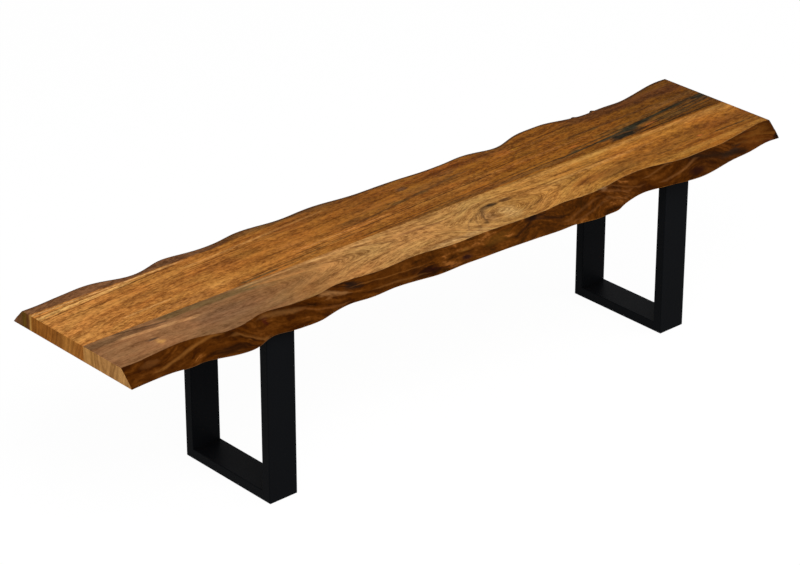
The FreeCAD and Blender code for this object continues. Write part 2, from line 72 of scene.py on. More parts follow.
# Live edges at stations along the bench, as in the CAD source: share of the length from the left end,
# shares of the wave by which the front and the rear edge lie rearwards, and shares of the flare by
# which the front and the rear foot stand out.
EDGE_SHARES = (
    (0.000, 0.58, 0.55, 0.82, 0.83), (0.022, 0.56, 0.58, 0.74, 0.88), (0.042, 0.70, 0.72, 0.80, 0.97),
    (0.062, 0.84, 0.84, 0.94, 1.07), (0.082, 0.92, 0.93, 1.13, 1.13), (0.092, 0.84, 0.88, 1.04, 1.12),
    (0.112, 0.54, 0.50, 1.06, 1.06), (0.132, -0.01, -0.02, 1.04, 0.98), (0.147, -0.11, -0.13, 1.10, 0.94),
    (0.162, 0.05, 0.06, 1.13, 0.96), (0.182, 0.48, 0.53, 1.02, 1.02), (0.192, 0.60, 0.64, 1.01, 1.05),
    (0.212, 0.42, 0.45, 1.08, 1.10), (0.232, 0.18, 0.19, 1.05, 1.12), (0.252, 0.11, 0.12, 1.01, 1.09),
    (0.272, 0.21, 0.27, 0.85, 1.00), (0.292, 0.54, 0.56, 0.86, 0.94), (0.307, 0.59, 0.61, 0.86, 0.90),
    (0.322, 0.49, 0.50, 0.91, 0.87), (0.342, 0.21, 0.26, 0.79, 0.85), (0.362, 0.13, 0.16, 0.69, 0.86),
    (0.382, 0.22, 0.25, 0.81, 0.91), (0.407, 0.31, 0.32, 1.06, 1.00), (0.422, 0.25, 0.23, 1.14, 1.06),
    (0.442, 0.00, 0.00, 1.02, 1.12), (0.462, -0.22, -0.20, 0.86, 1.10), (0.492, -0.25, -0.27, 0.90, 1.00),
    (0.532, -0.34, -0.35, 0.91, 0.92), (0.552, -0.47, -0.47, 0.90, 0.88), (0.572, -0.57, -0.59, 0.90, 0.86),
    (0.592, -0.60, -0.61, 0.97, 0.89), (0.612, -0.55, -0.55, 1.06, 0.94), (0.637, -0.40, -0.42, 1.17, 1.00),
    (0.662, -0.60, -0.76, 1.29, 0.98), (0.675, -0.64, -1.03, 1.29, 0.96), (0.687, -0.62, -1.12, 1.30, 0.93),
    (0.699, -0.55, -0.97, 1.31, 0.90), (0.712, -0.42, -0.63, 1.15, 0.88), (0.732, -0.15, -0.15, 1.02, 0.88),
    (0.762, 0.02, 0.00, 0.94, 0.88), (0.782, -0.06, -0.06, 1.05, 0.85), (0.802, -0.40, -0.47, 1.03, 0.92),
    (0.822, -0.79, -0.88, 1.01, 0.96), (0.842, -0.93, -1.06, 1.04, 1.00), (0.862, -0.88, -0.98, 1.00, 1.04),
    (0.882, -0.88, -0.99, 0.84, 1.06), (0.902, -0.86, -1.04, 0.69, 1.02), (0.922, -0.64, -0.81, 0.73, 0.96),
    (0.942, -0.38, -0.47, 0.80, 0.94), (0.962, -0.11, -0.12, 0.79, 0.90), (0.982, 0.10, 0.10, 0.80, 0.88),
    (1.000, 0.02, 0.08, 0.82, 0.87),
)


class Side(Enum):
    """Which board, and which way its live edge faces along y."""

    FRONT = -1
    REAR = 1


class Column(Enum):
    """Columns of the table of live edges."""

    STATION = 0
    FRONT_WAVE = 1
    REAR_WAVE = 2
    FRONT_FOOT = 3
    REAR_FOOT = 4


class Blend(Enum):
    """How one colour is laid over another."""

    COVER = "MIX"
    MULTIPLY = "MULTIPLY"


def paint(red: float, green: float, blue: float) -> Colour:
    """Turn a tone written in 0 to 255 steps, as a screen shows it, into a linear colour.

    Args:
        red: Red, 0 to 255.
        green: Green, 0 to 255.
        blue: Blue, 0 to 255.

    Returns:
        The linear colour with full alpha.
    """
    shown = np.array([red, green, blue]) / 255
    linear = np.where(shown <= 0.04045, shown / 12.92, ((shown + 0.055) / 1.055) ** 2.4)
    return (float(linear[0]), float(linear[1]), float(linear[2]), 1.0)


def natural_spline(knots: np.ndarray, values: np.ndarray, at: np.ndarray) -> np.ndarray:
    """Run a natural cubic spline through values.

    The second derivatives solve the usual three-banded system and are nil at both ends; between two
    knots the curve is the cubic that has their values and second derivatives.

    Args:
        knots: Rising places of the values.
        values: Values at the knots.
        at: Places to read the curve at.

    Returns:
        The curve at those places.
    """
    gaps = np.diff(knots)
    count = len(knots)
    inner = np.arange(1, count - 1)
    system = np.eye(count)
    system[inner, inner - 1] = gaps[:-1]
    system[inner, inner] = 2 * (gaps[:-1] + gaps[1:])
    system[inner, inner + 1] = gaps[1:]
    wanted = np.zeros(count)
    wanted[1:-1] = 6 * np.diff(np.diff(values) / gaps)
    bends = np.linalg.solve(system, wanted)
    cell = np.clip(np.searchsorted(knots, at) - 1, 0, count - 2)
    low = (knots[cell + 1] - at) / gaps[cell]
    high = 1 - low
    sag = (low ** 3 - low) * bends[cell] + (high ** 3 - high) * bends[cell + 1]
    return low * values[cell] + high * values[cell + 1] + sag * gaps[cell] ** 2 / 6


def ripple(across: np.ndarray, along: np.ndarray, seed: int) -> np.ndarray:
    """Give smooth random heights from -1 to 1 over two coordinates.

    Random heights sit on a unit lattice and are blended between its points by the ramp 3t2 - 2t3.

    Args:
        across: First coordinate, in lattice cells.
        along: Second coordinate, in lattice cells, of the same shape.
        seed: Which random lattice to use.

    Returns:
        A height for each pair of coordinates.
    """
    cells = 97
    lattice = np.random.default_rng(seed).uniform(-1, 1, (cells, cells))
    first, second = np.floor(across).astype(int), np.floor(along).astype(int)
    rise, run = across - first, along - second
    rise, run = rise * rise * (3 - 2 * rise), run * run * (3 - 2 * run)
    low, high = first % cells, (first + 1) % cells
    near, far = (
        lattice[low, column] * (1 - rise) + lattice[high, column] * rise
        for column in (second % cells, (second + 1) % cells)
    )
    return near * (1 - run) + far * run


def rounded(start: np.ndarray, middle: np.ndarray, end: np.ndarray, turn: np.ndarray) -> np.ndarray:
    """Round a corner of each outline: blend its three places by (1-t)2, 2t(1-t) and t2 over the turn."""
    near = start[:, None] * (1 - turn) ** 2
    return near + 2 * turn * (1 - turn) * middle[:, None] + end[:, None] * turn ** 2


def grid_faces(rows: int, columns: int, closed_rows: bool = False) -> np.ndarray:
    """Number the four corners of each cell of a grid whose columns close on themselves.

    Args:
        rows: Points along the first direction.
        columns: Points round the closed direction.
        closed_rows: Whether the last row joins the first one.

    Returns:
        One row of four point numbers for each cell.
    """
    count = rows if closed_rows else rows - 1
    row, column = np.meshgrid(np.arange(count), np.arange(columns), indexing="ij")
    beyond, beside = (row + 1) % rows, (column + 1) % columns
    corners = [row * columns + column, row * columns + beside]
    corners += [beyond * columns + beside, beyond * columns + column]
    return np.stack(corners, axis=-1).reshape(-1, 4)


def new_piece(name: str, points: np.ndarray, faces: List[Sequence[int]]) -> Object:
    """Make a mesh object of this name from points and faces, at the origin."""
    mesh = bpy.data.meshes.new(name)
    mesh.from_pydata(points.reshape(-1, 3).tolist(), [], faces)
    mesh.update()
    piece = bpy.data.objects.new(name, mesh)
    bpy.context.scene.collection.objects.link(piece)
    return piece


def smooth_shade(mesh: Mesh, crease: float) -> None:
    """Shade a mesh smooth, with edges sharper than an angle in degrees kept crisp."""
    mesh.polygons.foreach_set("use_smooth", np.ones(len(mesh.polygons), dtype=bool))
    mesh.set_sharp_from_angle(angle=math.radians(crease))


class Graph:
    """A node tree, with short calls that each add a node and give its output."""

    # Sockets of the mixing node where it mixes colours
    AMOUNT, UNDER, OVER, MIXED = 0, 6, 7, 2

    def __init__(self, tree: NodeTree) -> None:
        """Work on this tree."""
        self.tree = tree

    def feed(self, socket: NodeSocket, value: Union[Value, Colour]) -> None:
        """Link an output to a socket, or set the socket's own value."""
        if isinstance(value, NodeSocket):
            self.tree.links.new(value, socket)
        else:
            socket.default_value = value

    def add(self, kind: str, *values: Union[Value, Colour]) -> NodeSocket:
        """Add a node of this kind, feed its first inputs and give its first output."""
        node = self.tree.nodes.new(kind)
        for socket, value in zip(node.inputs, values):
            self.feed(socket, value)
        return node.outputs[0]

    def sums(self, operation: str, *values: Value) -> NodeSocket:
        """Work out one step of arithmetic on up to three values."""
        node = self.tree.nodes.new("ShaderNodeMath")
        node.operation = operation
        for socket, value in zip(node.inputs, values):
            self.feed(socket, value)
        return node.outputs[0]

    def scaled(self, value: Value, factor: float, shift: float = 0.0) -> NodeSocket:
        """Multiply a value by a factor and add a shift."""
        return self.sums("MULTIPLY_ADD", value, factor, shift)

    def swing(self, value: Value, width: float = 1.0) -> NodeSocket:
        """Centre a value of 0 to 1 on nil and spread it over a width."""
        return self.scaled(value, width, -0.5 * width)

    def held(self, value: Value) -> NodeSocket:
        """Hold a value between 0 and 1."""
        return self.sums("MAXIMUM", self.sums("MINIMUM", value, 1.0), 0.0)

    def split(self, vector: NodeSocket) -> Tuple[NodeSocket, NodeSocket, NodeSocket]:
        """Take a vector apart."""
        node = self.tree.nodes.new("ShaderNodeSeparateXYZ")
        self.feed(node.inputs[0], vector)
        return node.outputs[0], node.outputs[1], node.outputs[2]

    def vector(self, first: Value, second: Value, third: Value = 0.0) -> NodeSocket:
        """Put three values together as a vector."""
        return self.add("ShaderNodeCombineXYZ", first, second, third)

    def noise(
        self, place: NodeSocket, scale: float = 1.0, detail: float = 2.0, roughness: float = 0.5,
    ) -> NodeSocket:
        """Read soft noise of about 0 to 1 at a place.

        Args:
            place: Where to read it.
            scale: Cells per unit.
            detail: How many finer layers are added.
            roughness: Strength of each finer layer against the last.

        Returns:
            The noise.
        """
        node = self.tree.nodes.new("ShaderNodeTexNoise")
        self.feed(node.inputs["Vector"], place)
        for name, value in (("Scale", scale), ("Detail", detail), ("Roughness", roughness)):
            node.inputs[name].default_value = value
        return node.outputs["Fac"]

    def attribute(self, name: str) -> NodeSocket:
        """Read a number that the mesh carries at its points."""
        node = self.tree.nodes.new("ShaderNodeAttribute")
        node.attribute_name = name
        return node.outputs["Fac"]

    def rise(self, value: Value, low: Value, high: Value) -> NodeSocket:
        """Give 0 where a value is at low, 1 where it is at high, and a soft ramp between.

        The smooth step holds itself between 0 and 1, so the node's own clamp is off.
        """
        node = self.tree.nodes.new("ShaderNodeMapRange")
        node.interpolation_type = "SMOOTHSTEP"
        node.clamp = False
        self.feed(node.inputs["Value"], value)
        self.feed(node.inputs["From Min"], low)
        self.feed(node.inputs["From Max"], high)
        return node.outputs[0]

    def window(self, value: Value, low: float, high: float, soft: float) -> NodeSocket:
        """Give 1 between two limits, falling to 0 over a soft margin outside them."""
        up = self.rise(value, low - soft, low)
        down = self.rise(value, high + soft, high)
        return self.sums("MULTIPLY", up, down)

    def tint(
        self, amount: Value, base: Union[Colour, NodeSocket], colour: Union[Colour, NodeSocket],
        blend: Blend = Blend.COVER,
    ) -> NodeSocket:
        """Lay a colour over a base by an amount."""
        node = self.tree.nodes.new("ShaderNodeMix")
        node.data_type = "RGBA"
        node.blend_type = blend.value
        for socket, part in ((self.AMOUNT, amount), (self.UNDER, base), (self.OVER, colour)):
            self.feed(node.inputs[socket], part)
        return node.outputs[self.MIXED]

    def ramp(self, value: Value, stops: Stops) -> NodeSocket:
        """Look a colour up along a row of stops."""
        node = self.tree.nodes.new("ShaderNodeValToRGB")
        node.color_ramp.interpolation = "EASE"
        elements = node.color_ramp.elements
        for _ in stops[2:]:
            elements.new(0.5)
        for element, (position, colour) in zip(elements, sorted(stops)):
            element.position = position
            element.color = colour
        self.feed(node.inputs[0], value)
        return node.outputs[0]

    def mark(self, group: NodeTree, base: NodeSocket, colour: Colour, **inputs: Value) -> NodeSocket:
        """Lay a mark over a base colour with one of the mark groups, whose inputs are given by name."""
        node = self.tree.nodes.new("ShaderNodeGroup")
        node.node_tree = group
        self.feed(node.inputs["Base"], base)
        self.feed(node.inputs["Colour"], colour)
        for name, value in inputs.items():
            self.feed(node.inputs[name], value)
        return node.outputs[0]


class MarkGroup(Graph):
    """A group of nodes that lays one mark over a base colour."""

    COMMON = ("first", "second", "stir", "strength")

    def __init__(self, name: str, numbers: Sequence[str]) -> None:
        """Start the group with its two colours, the common inputs and its own numbers."""
        super().__init__(bpy.data.node_groups.new(name, "ShaderNodeTree"))
        for label in ("Base", "Colour"):
            self.tree.interface.new_socket(name=label, in_out="INPUT", socket_type="NodeSocketColor")
        for label in (*self.COMMON, *numbers):
            self.tree.interface.new_socket(name=label, in_out="INPUT", socket_type="NodeSocketFloat")
        self.tree.interface.new_socket(name="Result", in_out="OUTPUT", socket_type="NodeSocketColor")
        self.given = self.tree.nodes.new("NodeGroupInput").outputs
        self.result = self.tree.nodes.new("NodeGroupOutput").inputs[0]

    def close(self, body: NodeSocket) -> NodeTree:
        """Lay the colour over the base by the mark's body."""
        amount = self.sums("MULTIPLY", body, self.given["strength"])
        self.feed(self.result, self.tint(amount, self.given["Base"], self.given["Colour"]))
        return self.tree


def spot_group() -> NodeTree:
    """Make the group of an oval spot.

    The distance from its middle is 1 at the rim, and the stir breaks the outline. The colour is full
    up to the core.
    """
    core = 0.25
    names = ("middle_first", "middle_second", "reach_first", "reach_second", "ragged")
    graph = MarkGroup("spot_mark", names)
    given = graph.given
    offsets = []
    for way in ("first", "second"):
        offset = graph.sums("SUBTRACT", given[way], given[f"middle_{way}"])
        offsets.append(graph.sums("DIVIDE", offset, given[f"reach_{way}"]))
    one, two = offsets
    square = graph.sums("MULTIPLY_ADD", one, one, graph.sums("MULTIPLY", two, two))
    distance = graph.sums("MULTIPLY_ADD", given["stir"], given["ragged"], graph.sums("SQRT", square))
    return graph.close(graph.rise(distance, 1.0, core))


def streak_group() -> NodeTree:
    """Make the group of a streak.

    Its middle line runs from level over a climb, with a bend of 4u(1-u) at a share u of the way. It
    narrows to a point over the taper beyond its start and its end. The stir moves its outline by the
    square root of its width, so a fine streak is broken and a broad one is even.
    """
    looseness, least_width = 0.04, 0.00002
    names = ("before", "start", "end", "after", "level", "climb", "bend", "half_width", "core")
    graph = MarkGroup("streak_mark", names)
    given = graph.given
    span = graph.sums("SUBTRACT", given["end"], given["start"])
    share = graph.sums("DIVIDE", graph.sums("SUBTRACT", given["first"], given["start"]), span)
    share = graph.held(share)
    arch = graph.sums("MULTIPLY", graph.scaled(share, -4.0, 4.0), share)
    line = graph.sums("MULTIPLY_ADD", given["climb"], share, given["level"])
    line = graph.sums("MULTIPLY_ADD", given["bend"], arch, line)
    up = graph.rise(given["first"], given["before"], given["start"])
    down = graph.rise(given["first"], given["after"], given["end"])
    fade = graph.sums("MULTIPLY", up, down)
    width = graph.sums("MULTIPLY", given["half_width"], fade)
    away = graph.sums("ABSOLUTE", graph.sums("SUBTRACT", given["second"], line))
    loose = graph.sums("MULTIPLY", given["stir"], graph.sums("SQRT", width))
    away = graph.sums("ADD", away, graph.scaled(loose, looseness))
    ratio = graph.sums("DIVIDE", away, graph.sums("ADD", width, least_width))
    return graph.close(graph.sums("MULTIPLY", graph.rise(ratio, 1.0, given["core"]), fade))


class Shading(Graph):
    """The node tree of one material."""

    def __init__(self, name: str) -> None:
        """Start a material of this name with its surface shader."""
        self.material: Material = bpy.data.materials.new(name)
        self.material.use_nodes = True
        super().__init__(self.material.node_tree)
        self.surface = self.tree.nodes["Principled BSDF"]
        self.place: NodeSocket = self.tree.nodes.new("ShaderNodeTexCoord").outputs["Object"]

    def relief(self, height: NodeSocket, depth: float) -> None:
        """Raise the surface finely by a height of 0 to 1 over a depth in metres."""
        node = self.tree.nodes.new("ShaderNodeBump")
        node.inputs["Strength"].default_value = 1.0
        node.inputs["Distance"].default_value = depth
        self.feed(node.inputs["Height"], height)
        self.feed(self.surface.inputs["Normal"], node.outputs[0])

    def gloss(self, roughness: Value, specular: float = 0.5, metallic: float = 0.0) -> None:
        """Set how the surface shines."""
        self.feed(self.surface.inputs["Roughness"], roughness)
        self.surface.inputs["Specular IOR Level"].default_value = specular
        self.surface.inputs["Metallic"].default_value = metallic


@dataclass(frozen=True)
class Ground:
    """A place in a board, as its material sees it: along the board, across it and up, in metres."""

    shade: Shading
    along: NodeSocket
    across: NodeSocket
    height: NodeSocket
    seed: float


@dataclass(frozen=True)
class Grain:
    """Noise drawn out along the wood, by its cells in a metre along the board and across its lanes."""

    along: float
    across: float
    seed: float
    detail: float
    roughness: float = 0.5

    def read(self, ground: Ground, lane: NodeSocket) -> NodeSocket:
        """Read the noise at a place along the board and a lane."""
        shade = ground.shade
        run, breadth = shade.scaled(ground.along, self.along), shade.scaled(lane, self.across)
        place = shade.vector(run, breadth, ground.seed + self.seed)
        return shade.noise(place, detail=self.detail, roughness=self.roughness)


@dataclass(frozen=True)
class Blotch:
    """Noise that runs through the wood, by its cells in a metre along the board and both ways across it."""

    along: float
    across: float
    detail: float
    roughness: float = 0.5

    def read(self, ground: Ground) -> NodeSocket:
        """Read the noise at a place in a board."""
        shade = ground.shade
        run, breadth = shade.scaled(ground.along, self.along), shade.scaled(ground.across, self.across)
        place = shade.vector(run, breadth, shade.scaled(ground.height, self.across, ground.seed))
        return shade.noise(place, detail=self.detail, roughness=self.roughness)


@dataclass(frozen=True)
class Streak:
    """A streak of colour from one point of a surface to another.

    Both coordinates are metres on a board's top, from its left end and from the bench's middle. On a
    live edge the second one is the lift, which runs from 0 at the foot to 1 at the lip. The colour is
    full up to the core's share of the half width, and the streak narrows to a point over the taper
    beyond each end. The bend is how far its middle stands off the straight line.
    """

    start: Pair
    end: Pair
    half_width: float
    colour: Colour
    strength: float = 1.0
    taper: float = 0.08
    core: float = 0.4
    bend: float = 0.0


@dataclass(frozen=True)
class Spot:
    """An oval patch of colour, in the coordinates of a streak."""

    centre: Pair
    reach: Pair
    colour: Colour
    strength: float = 1.0
    ragged: float = 1.0


@dataclass(frozen=True)
class Swell:
    """A place where the grain swings round: its reach each way and the height of the swing."""

    centre: Pair
    reach: Pair
    height: float


@dataclass(frozen=True)
class Sway:
    """A stretch over which a line climbs, or falls where the rise is negative."""

    start: float
    end: float
    rise: float


@dataclass(frozen=True)
class Heart:
    """The middle of a board sawn through the heart, on both sides of which the grain is alike.

    The middle line is at a place across the bench and sways along it. Where the pull climbs, the
    grain's lines close in arrow heads that point to the right end, and to the left where it falls.
    """

    middle: float
    sways: Tuple[Sway, ...]
    pulls: Tuple[Sway, ...]


@dataclass(frozen=True)
class BoardWood:
    """Oiled wood of one board: its tones along the length, its grain and its marks.

    The drift and the tilt lean the grain's lanes along the board and through its thickness. The rim is
    the line of colour at the live edge's lip, over a span of the length: the bark's dark colour on the
    rear board and a painted highlight on the front one. The speckle is added at the left end, calm
    takes contrast away from the left part and lively adds it to the right part.
    """

    # Grain and figure of the sawn wood and the live edge
    STRANDS = Grain(10, 130, 4, 5, 0.66)
    FIBRES = Grain(62, 520, 9, 3, 0.7)
    BANDS = Grain(1.6, 38, 0, 3)
    HUES = Grain(8, 26, 2, 3, 0.6)
    EDGE_WOBBLE = Grain(18, 60, 0, 2)
    FLAMES = Grain(13, 150, 1, 4, 0.55)
    PATCHES = Grain(24, 70, 6, 3, 0.55)
    MOTTLE = Blotch(24, 56, 4, 0.6)
    FLECKS = Blotch(90, 150, 2)
    SLOW_WOBBLE = Blotch(1.7, 6, 2)
    QUICK_WOBBLE = Blotch(13, 45, 1)
    # Cells of the live edge's grit in a metre along the board, up it and across it
    GRIT_CELLS = (130, 240, 60)
    # Tints of the patches of hue, and of the darkest and lightest grain on the top and on the ends
    REDDER, GREENER = (1.07, 0.93, 0.94, 1), (0.93, 1.07, 1.20, 1)
    GRAIN_SHADE, GRAIN_LIGHT = (0.46, 0.40, 0.34, 1), (1.40, 1.50, 1.62, 1)
    END_SHADE, END_LIGHT = (0.55, 0.50, 0.45, 1), (1.35, 1.40, 1.45, 1)
    # How far the stir pushes a mark each way
    TOP_STIR, EDGE_STIR = (0.006, 0.0004), (0.012, 0.12)
    # Depth of a sawn end's colour, and how far in from the lip the live edge's colour starts and is full
    END_SKIN = 0.0004
    LIP_START, LIP_FULL, LIP_WANDER = 0.0032, 0.0012, 0.004
    # Height of the finest relief
    RELIEF_DEPTH = 0.00022

    name: str
    tones: Stops
    end_tones: Stops
    drift: float
    tilt: float
    swells: Tuple[Swell, ...]
    heart: Optional[Heart]
    streaks: Tuple[Streak, ...]
    spots: Tuple[Spot, ...]
    rim: Colour
    rim_span: Pair
    rim_width: float
    rim_strength: float
    speckle: float
    calm: float
    lively: float
    edge_tones: Stops
    edge_sways: Tuple[Sway, ...]
    edge_streaks: Tuple[Streak, ...]
    edge_spots: Tuple[Spot, ...]
    seed: float
    groups: Tuple[NodeTree, NodeTree]
    length: float = 2.0
    half_width: float = 0.25
    underside: float = 0.427
    thickness: float = 0.038
    roughness: float = 0.45
    sheen: float = 0.005

    def finish(self) -> Material:
        """Build the board's material.

        The grain follows a lane, which is the place across the board, drifting along it, tilted
        through its thickness, swayed by slow noise and pushed aside at each swell. Noise read along
        the lanes gives bands, streaks and fibres, on the top, the ends and the underside alike.

        Returns:
            The material.
        """
        shade = Shading(self.name)
        x, across, height = shade.split(shade.place)
        ground = Ground(shade, shade.sums("ADD", x, self.length / 2), across, height, self.seed)
        lane = self.lane(ground)
        strands, fibres = self.STRANDS.read(ground, lane), self.FIBRES.read(ground, lane)
        mottle = self.MOTTLE.read(ground)
        stir = shade.sums("MULTIPLY_ADD", strands, 1.3, shade.scaled(mottle, 1.2, -1.25))
        tone = shade.ramp(shade.scaled(ground.along, 1 / self.length), self.tones)
        sources = self.stirred(shade, ground.along, across, stir, self.TOP_STIR)
        tone = self.lay_marks(shade, tone, self.spots, self.streaks, sources)
        colour = self.figure(ground, tone, lane, strands, fibres, mottle)
        colour = self.rim_colour(ground, colour, strands)
        half = self.length / 2
        ends = shade.rise(shade.sums("ABSOLUTE", x), half - self.END_SKIN, half - self.END_SKIN / 4)
        colour = shade.tint(ends, colour, self.end_colour(ground, strands, mottle))
        edge = self.edge_colour(ground, fibres)
        live = self.live_part(shade, strands, ends)
        shade.feed(shade.surface.inputs["Base Color"], shade.tint(live, colour, edge))
        shade.gloss(shade.sums("MULTIPLY_ADD", fibres, 0.16, self.roughness - 0.08), specular=self.sheen)
        rough = shade.sums("MULTIPLY_ADD", live, shade.scaled(stir, 1.6), strands)
        shade.relief(shade.sums("MULTIPLY_ADD", fibres, 0.6, shade.scaled(rough, 0.4)), self.RELIEF_DEPTH)
        return shade.material

    def live_part(self, shade: Shading, strands: NodeSocket, ends: NodeSocket) -> NodeSocket:
        """Give 1 on the live edge and on a thin ragged line above its lip, and 0 elsewhere."""
        past_lip = shade.sums("MULTIPLY_ADD", shade.swing(strands), self.LIP_WANDER, shade.attribute("rim"))
        live = shade.attribute("live_edge")
        live = shade.sums("MAXIMUM", live, shade.rise(past_lip, self.LIP_START, self.LIP_FULL))
        return shade.sums("MULTIPLY", live, shade.scaled(ends, -1.0, 1.0))

    def figure(
        self, ground: Ground, tone: NodeSocket, lane: NodeSocket, strands: NodeSocket, fibres: NodeSocket,
        mottle: NodeSocket,
    ) -> NodeSocket:
        """Darken and lighten the tone of the sawn wood by its grain, over patches of hue.

        The depth is the sum of bands, strands, fibres, mottling and flecks round a middle of about a
        half. Its swing round the middle is then made smaller or larger along the board.
        """
        shade, along = ground.shade, ground.along
        bands, flecks = self.BANDS.read(ground, lane), self.FLECKS.read(ground)
        speckled = shade.scaled(shade.rise(along, 0.40, 0.05), self.speckle, 1.1)
        depth = shade.sums("MULTIPLY_ADD", bands, 1.5, shade.scaled(strands, 1.65, -1.08))
        depth = shade.sums("ADD", depth, shade.swing(fibres, 2.7))
        depth = shade.sums("ADD", depth, shade.swing(mottle, 1.3))
        depth = shade.sums("MULTIPLY_ADD", shade.swing(flecks), speckled, depth)
        kept = shade.scaled(shade.rise(along, 0.80, 0.42), -self.calm, 1.0)
        kept = shade.sums("MULTIPLY_ADD", shade.rise(along, 1.05, 1.40), self.lively, kept)
        depth = shade.sums("MULTIPLY_ADD", shade.swing(depth), kept, 0.5)
        hue = shade.held(shade.scaled(self.HUES.read(ground, lane), 1.6, -0.3))
        tone = shade.tint(1.0, tone, shade.tint(hue, self.REDDER, self.GREENER), Blend.MULTIPLY)
        return self.shaded(shade, tone, depth, self.GRAIN_SHADE, self.GRAIN_LIGHT)

    def shaded(
        self, shade: Shading, tone: NodeSocket, depth: NodeSocket, low: Colour, high: Colour,
    ) -> NodeSocket:
        """Run from the tone times a low tint, at a depth of 0, to the tone times a high tint, at 1."""
        dark = shade.tint(1.0, tone, low, Blend.MULTIPLY)
        light = shade.tint(1.0, tone, high, Blend.MULTIPLY)
        return shade.tint(shade.held(depth), dark, light)

    def end_colour(self, ground: Ground, strands: NodeSocket, mottle: NodeSocket) -> NodeSocket:
        """Work out the colour of the sawn ends from a row of tones across the bench."""
        shade = ground.shade
        tone = shade.ramp(shade.scaled(ground.across, 0.5 / self.half_width, 0.5), self.end_tones)
        depth = shade.sums("MULTIPLY_ADD", strands, 2.2, shade.scaled(mottle, 1.0, -1.1))
        return self.shaded(shade, tone, depth, self.END_SHADE, self.END_LIGHT)

    def rim_colour(self, ground: Ground, colour: NodeSocket, strands: NodeSocket) -> NodeSocket:
        """Lay the line of colour that follows the lip, thinner at the left, over the top's colour."""
        shade, along, clear = ground.shade, ground.along, 0.003
        thinner = shade.scaled(shade.rise(along, 0.75, 0.45), 0.9, 1.0)
        reach = shade.sums("MULTIPLY_ADD", shade.attribute("rim"), thinner, shade.scaled(strands, 0.006))
        line = shade.rise(reach, clear + self.rim_width, clear + 0.3 * self.rim_width)
        span = shade.window(along, self.rim_span[0], self.rim_span[1], 0.08)
        amount = shade.sums("MULTIPLY", line, shade.scaled(span, self.rim_strength))
        return shade.tint(amount, colour, self.rim)

    def lane(self, ground: Ground) -> NodeSocket:
        """Work out the grain's lane from the place in the board."""
        shade, along = ground.shade, ground.along
        lane = shade.sums("MULTIPLY_ADD", along, -self.drift, ground.across)
        turn = shade.sums("MAXIMUM", shade.scaled(along, -1.0, 0.45), 0.0)
        lane = shade.sums("MULTIPLY_ADD", shade.sums("MULTIPLY", turn, turn), 1.6 * self.drift, lane)
        lane = shade.sums("MULTIPLY_ADD", self.SLOW_WOBBLE.read(ground), 0.040, lane)
        if self.heart is not None:
            aside = shade.scaled(lane, 1.0, -self.heart.middle)
            aside = self.climbed(shade, aside, along, self.heart.sways, -1)
            lane = shade.sums("SQRT", shade.sums("MULTIPLY_ADD", aside, aside, 0.00010))
            lane = self.climbed(shade, lane, along, self.heart.pulls, 1)
        above = shade.sums("SUBTRACT", ground.height, self.underside)
        lane = shade.sums("MULTIPLY_ADD", above, self.tilt, lane)
        lane = shade.sums("MULTIPLY_ADD", self.QUICK_WOBBLE.read(ground), 0.006, lane)
        for swell in self.swells:
            lane = shade.sums("MULTIPLY_ADD", self.bell(ground, swell), swell.height, lane)
        return lane

    def climbed(
        self, shade: Shading, value: NodeSocket, along: NodeSocket, sways: Sequence[Sway], sign: int,
    ) -> NodeSocket:
        """Add the rise of every sway passed on the way from the left end to a value, or take it away."""
        for sway in sways:
            passed = shade.rise(along, sway.start, sway.end)
            value = shade.sums("MULTIPLY_ADD", passed, sign * sway.rise, value)
        return value

    def bell(self, ground: Ground, swell: Swell) -> NodeSocket:
        """Give a bell that is 1 at a swell's centre and falls off by its reach each way."""
        shade = ground.shade
        one = shade.scaled(ground.along, 1 / swell.reach[0], -swell.centre[0] / swell.reach[0])
        two = shade.scaled(ground.across, 1 / swell.reach[1], -swell.centre[1] / swell.reach[1])
        square = shade.sums("MULTIPLY_ADD", one, one, shade.sums("MULTIPLY", two, two))
        return shade.sums("EXPONENT", shade.scaled(square, -1.0))

    def stirred(
        self, shade: Shading, first: NodeSocket, second: NodeSocket, stir: NodeSocket, reach: Pair,
    ) -> Dict[str, NodeSocket]:
        """Give the sources of the marks: the stir, and two coordinates that it pushes over its reach."""
        return {
            "first": shade.sums("MULTIPLY_ADD", stir, reach[0], first),
            "second": shade.sums("MULTIPLY_ADD", stir, reach[1], second),
            "stir": stir,
        }

    def lay_marks(
        self, shade: Shading, colour: NodeSocket, spots: Sequence[Spot], streaks: Sequence[Streak],
        sources: Dict[str, NodeSocket],
    ) -> NodeSocket:
        """Lay spots and then streaks over a colour.

        Args:
            shade: The material.
            colour: The colour below them.
            spots: Spots, in order.
            streaks: Streaks, in order.
            sources: The two coordinates and the stir, by their names in the mark groups.

        Returns:
            The colour with the marks.
        """
        spot_tree, streak_tree = self.groups
        for spot in spots:
            colour = shade.mark(
                spot_tree, colour, spot.colour, **sources, strength=spot.strength,
                middle_first=spot.centre[0], middle_second=spot.centre[1],
                reach_first=spot.reach[0], reach_second=spot.reach[1], ragged=spot.ragged,
            )
        for streak in streaks:
            colour = shade.mark(
                streak_tree, colour, streak.colour, **sources, strength=streak.strength,
                before=streak.start[0] - streak.taper, start=streak.start[0],
                end=streak.end[0], after=streak.end[0] + streak.taper,
                level=streak.start[1], climb=streak.end[1] - streak.start[1], bend=streak.bend,
                half_width=streak.half_width, core=streak.core,
            )
        return colour

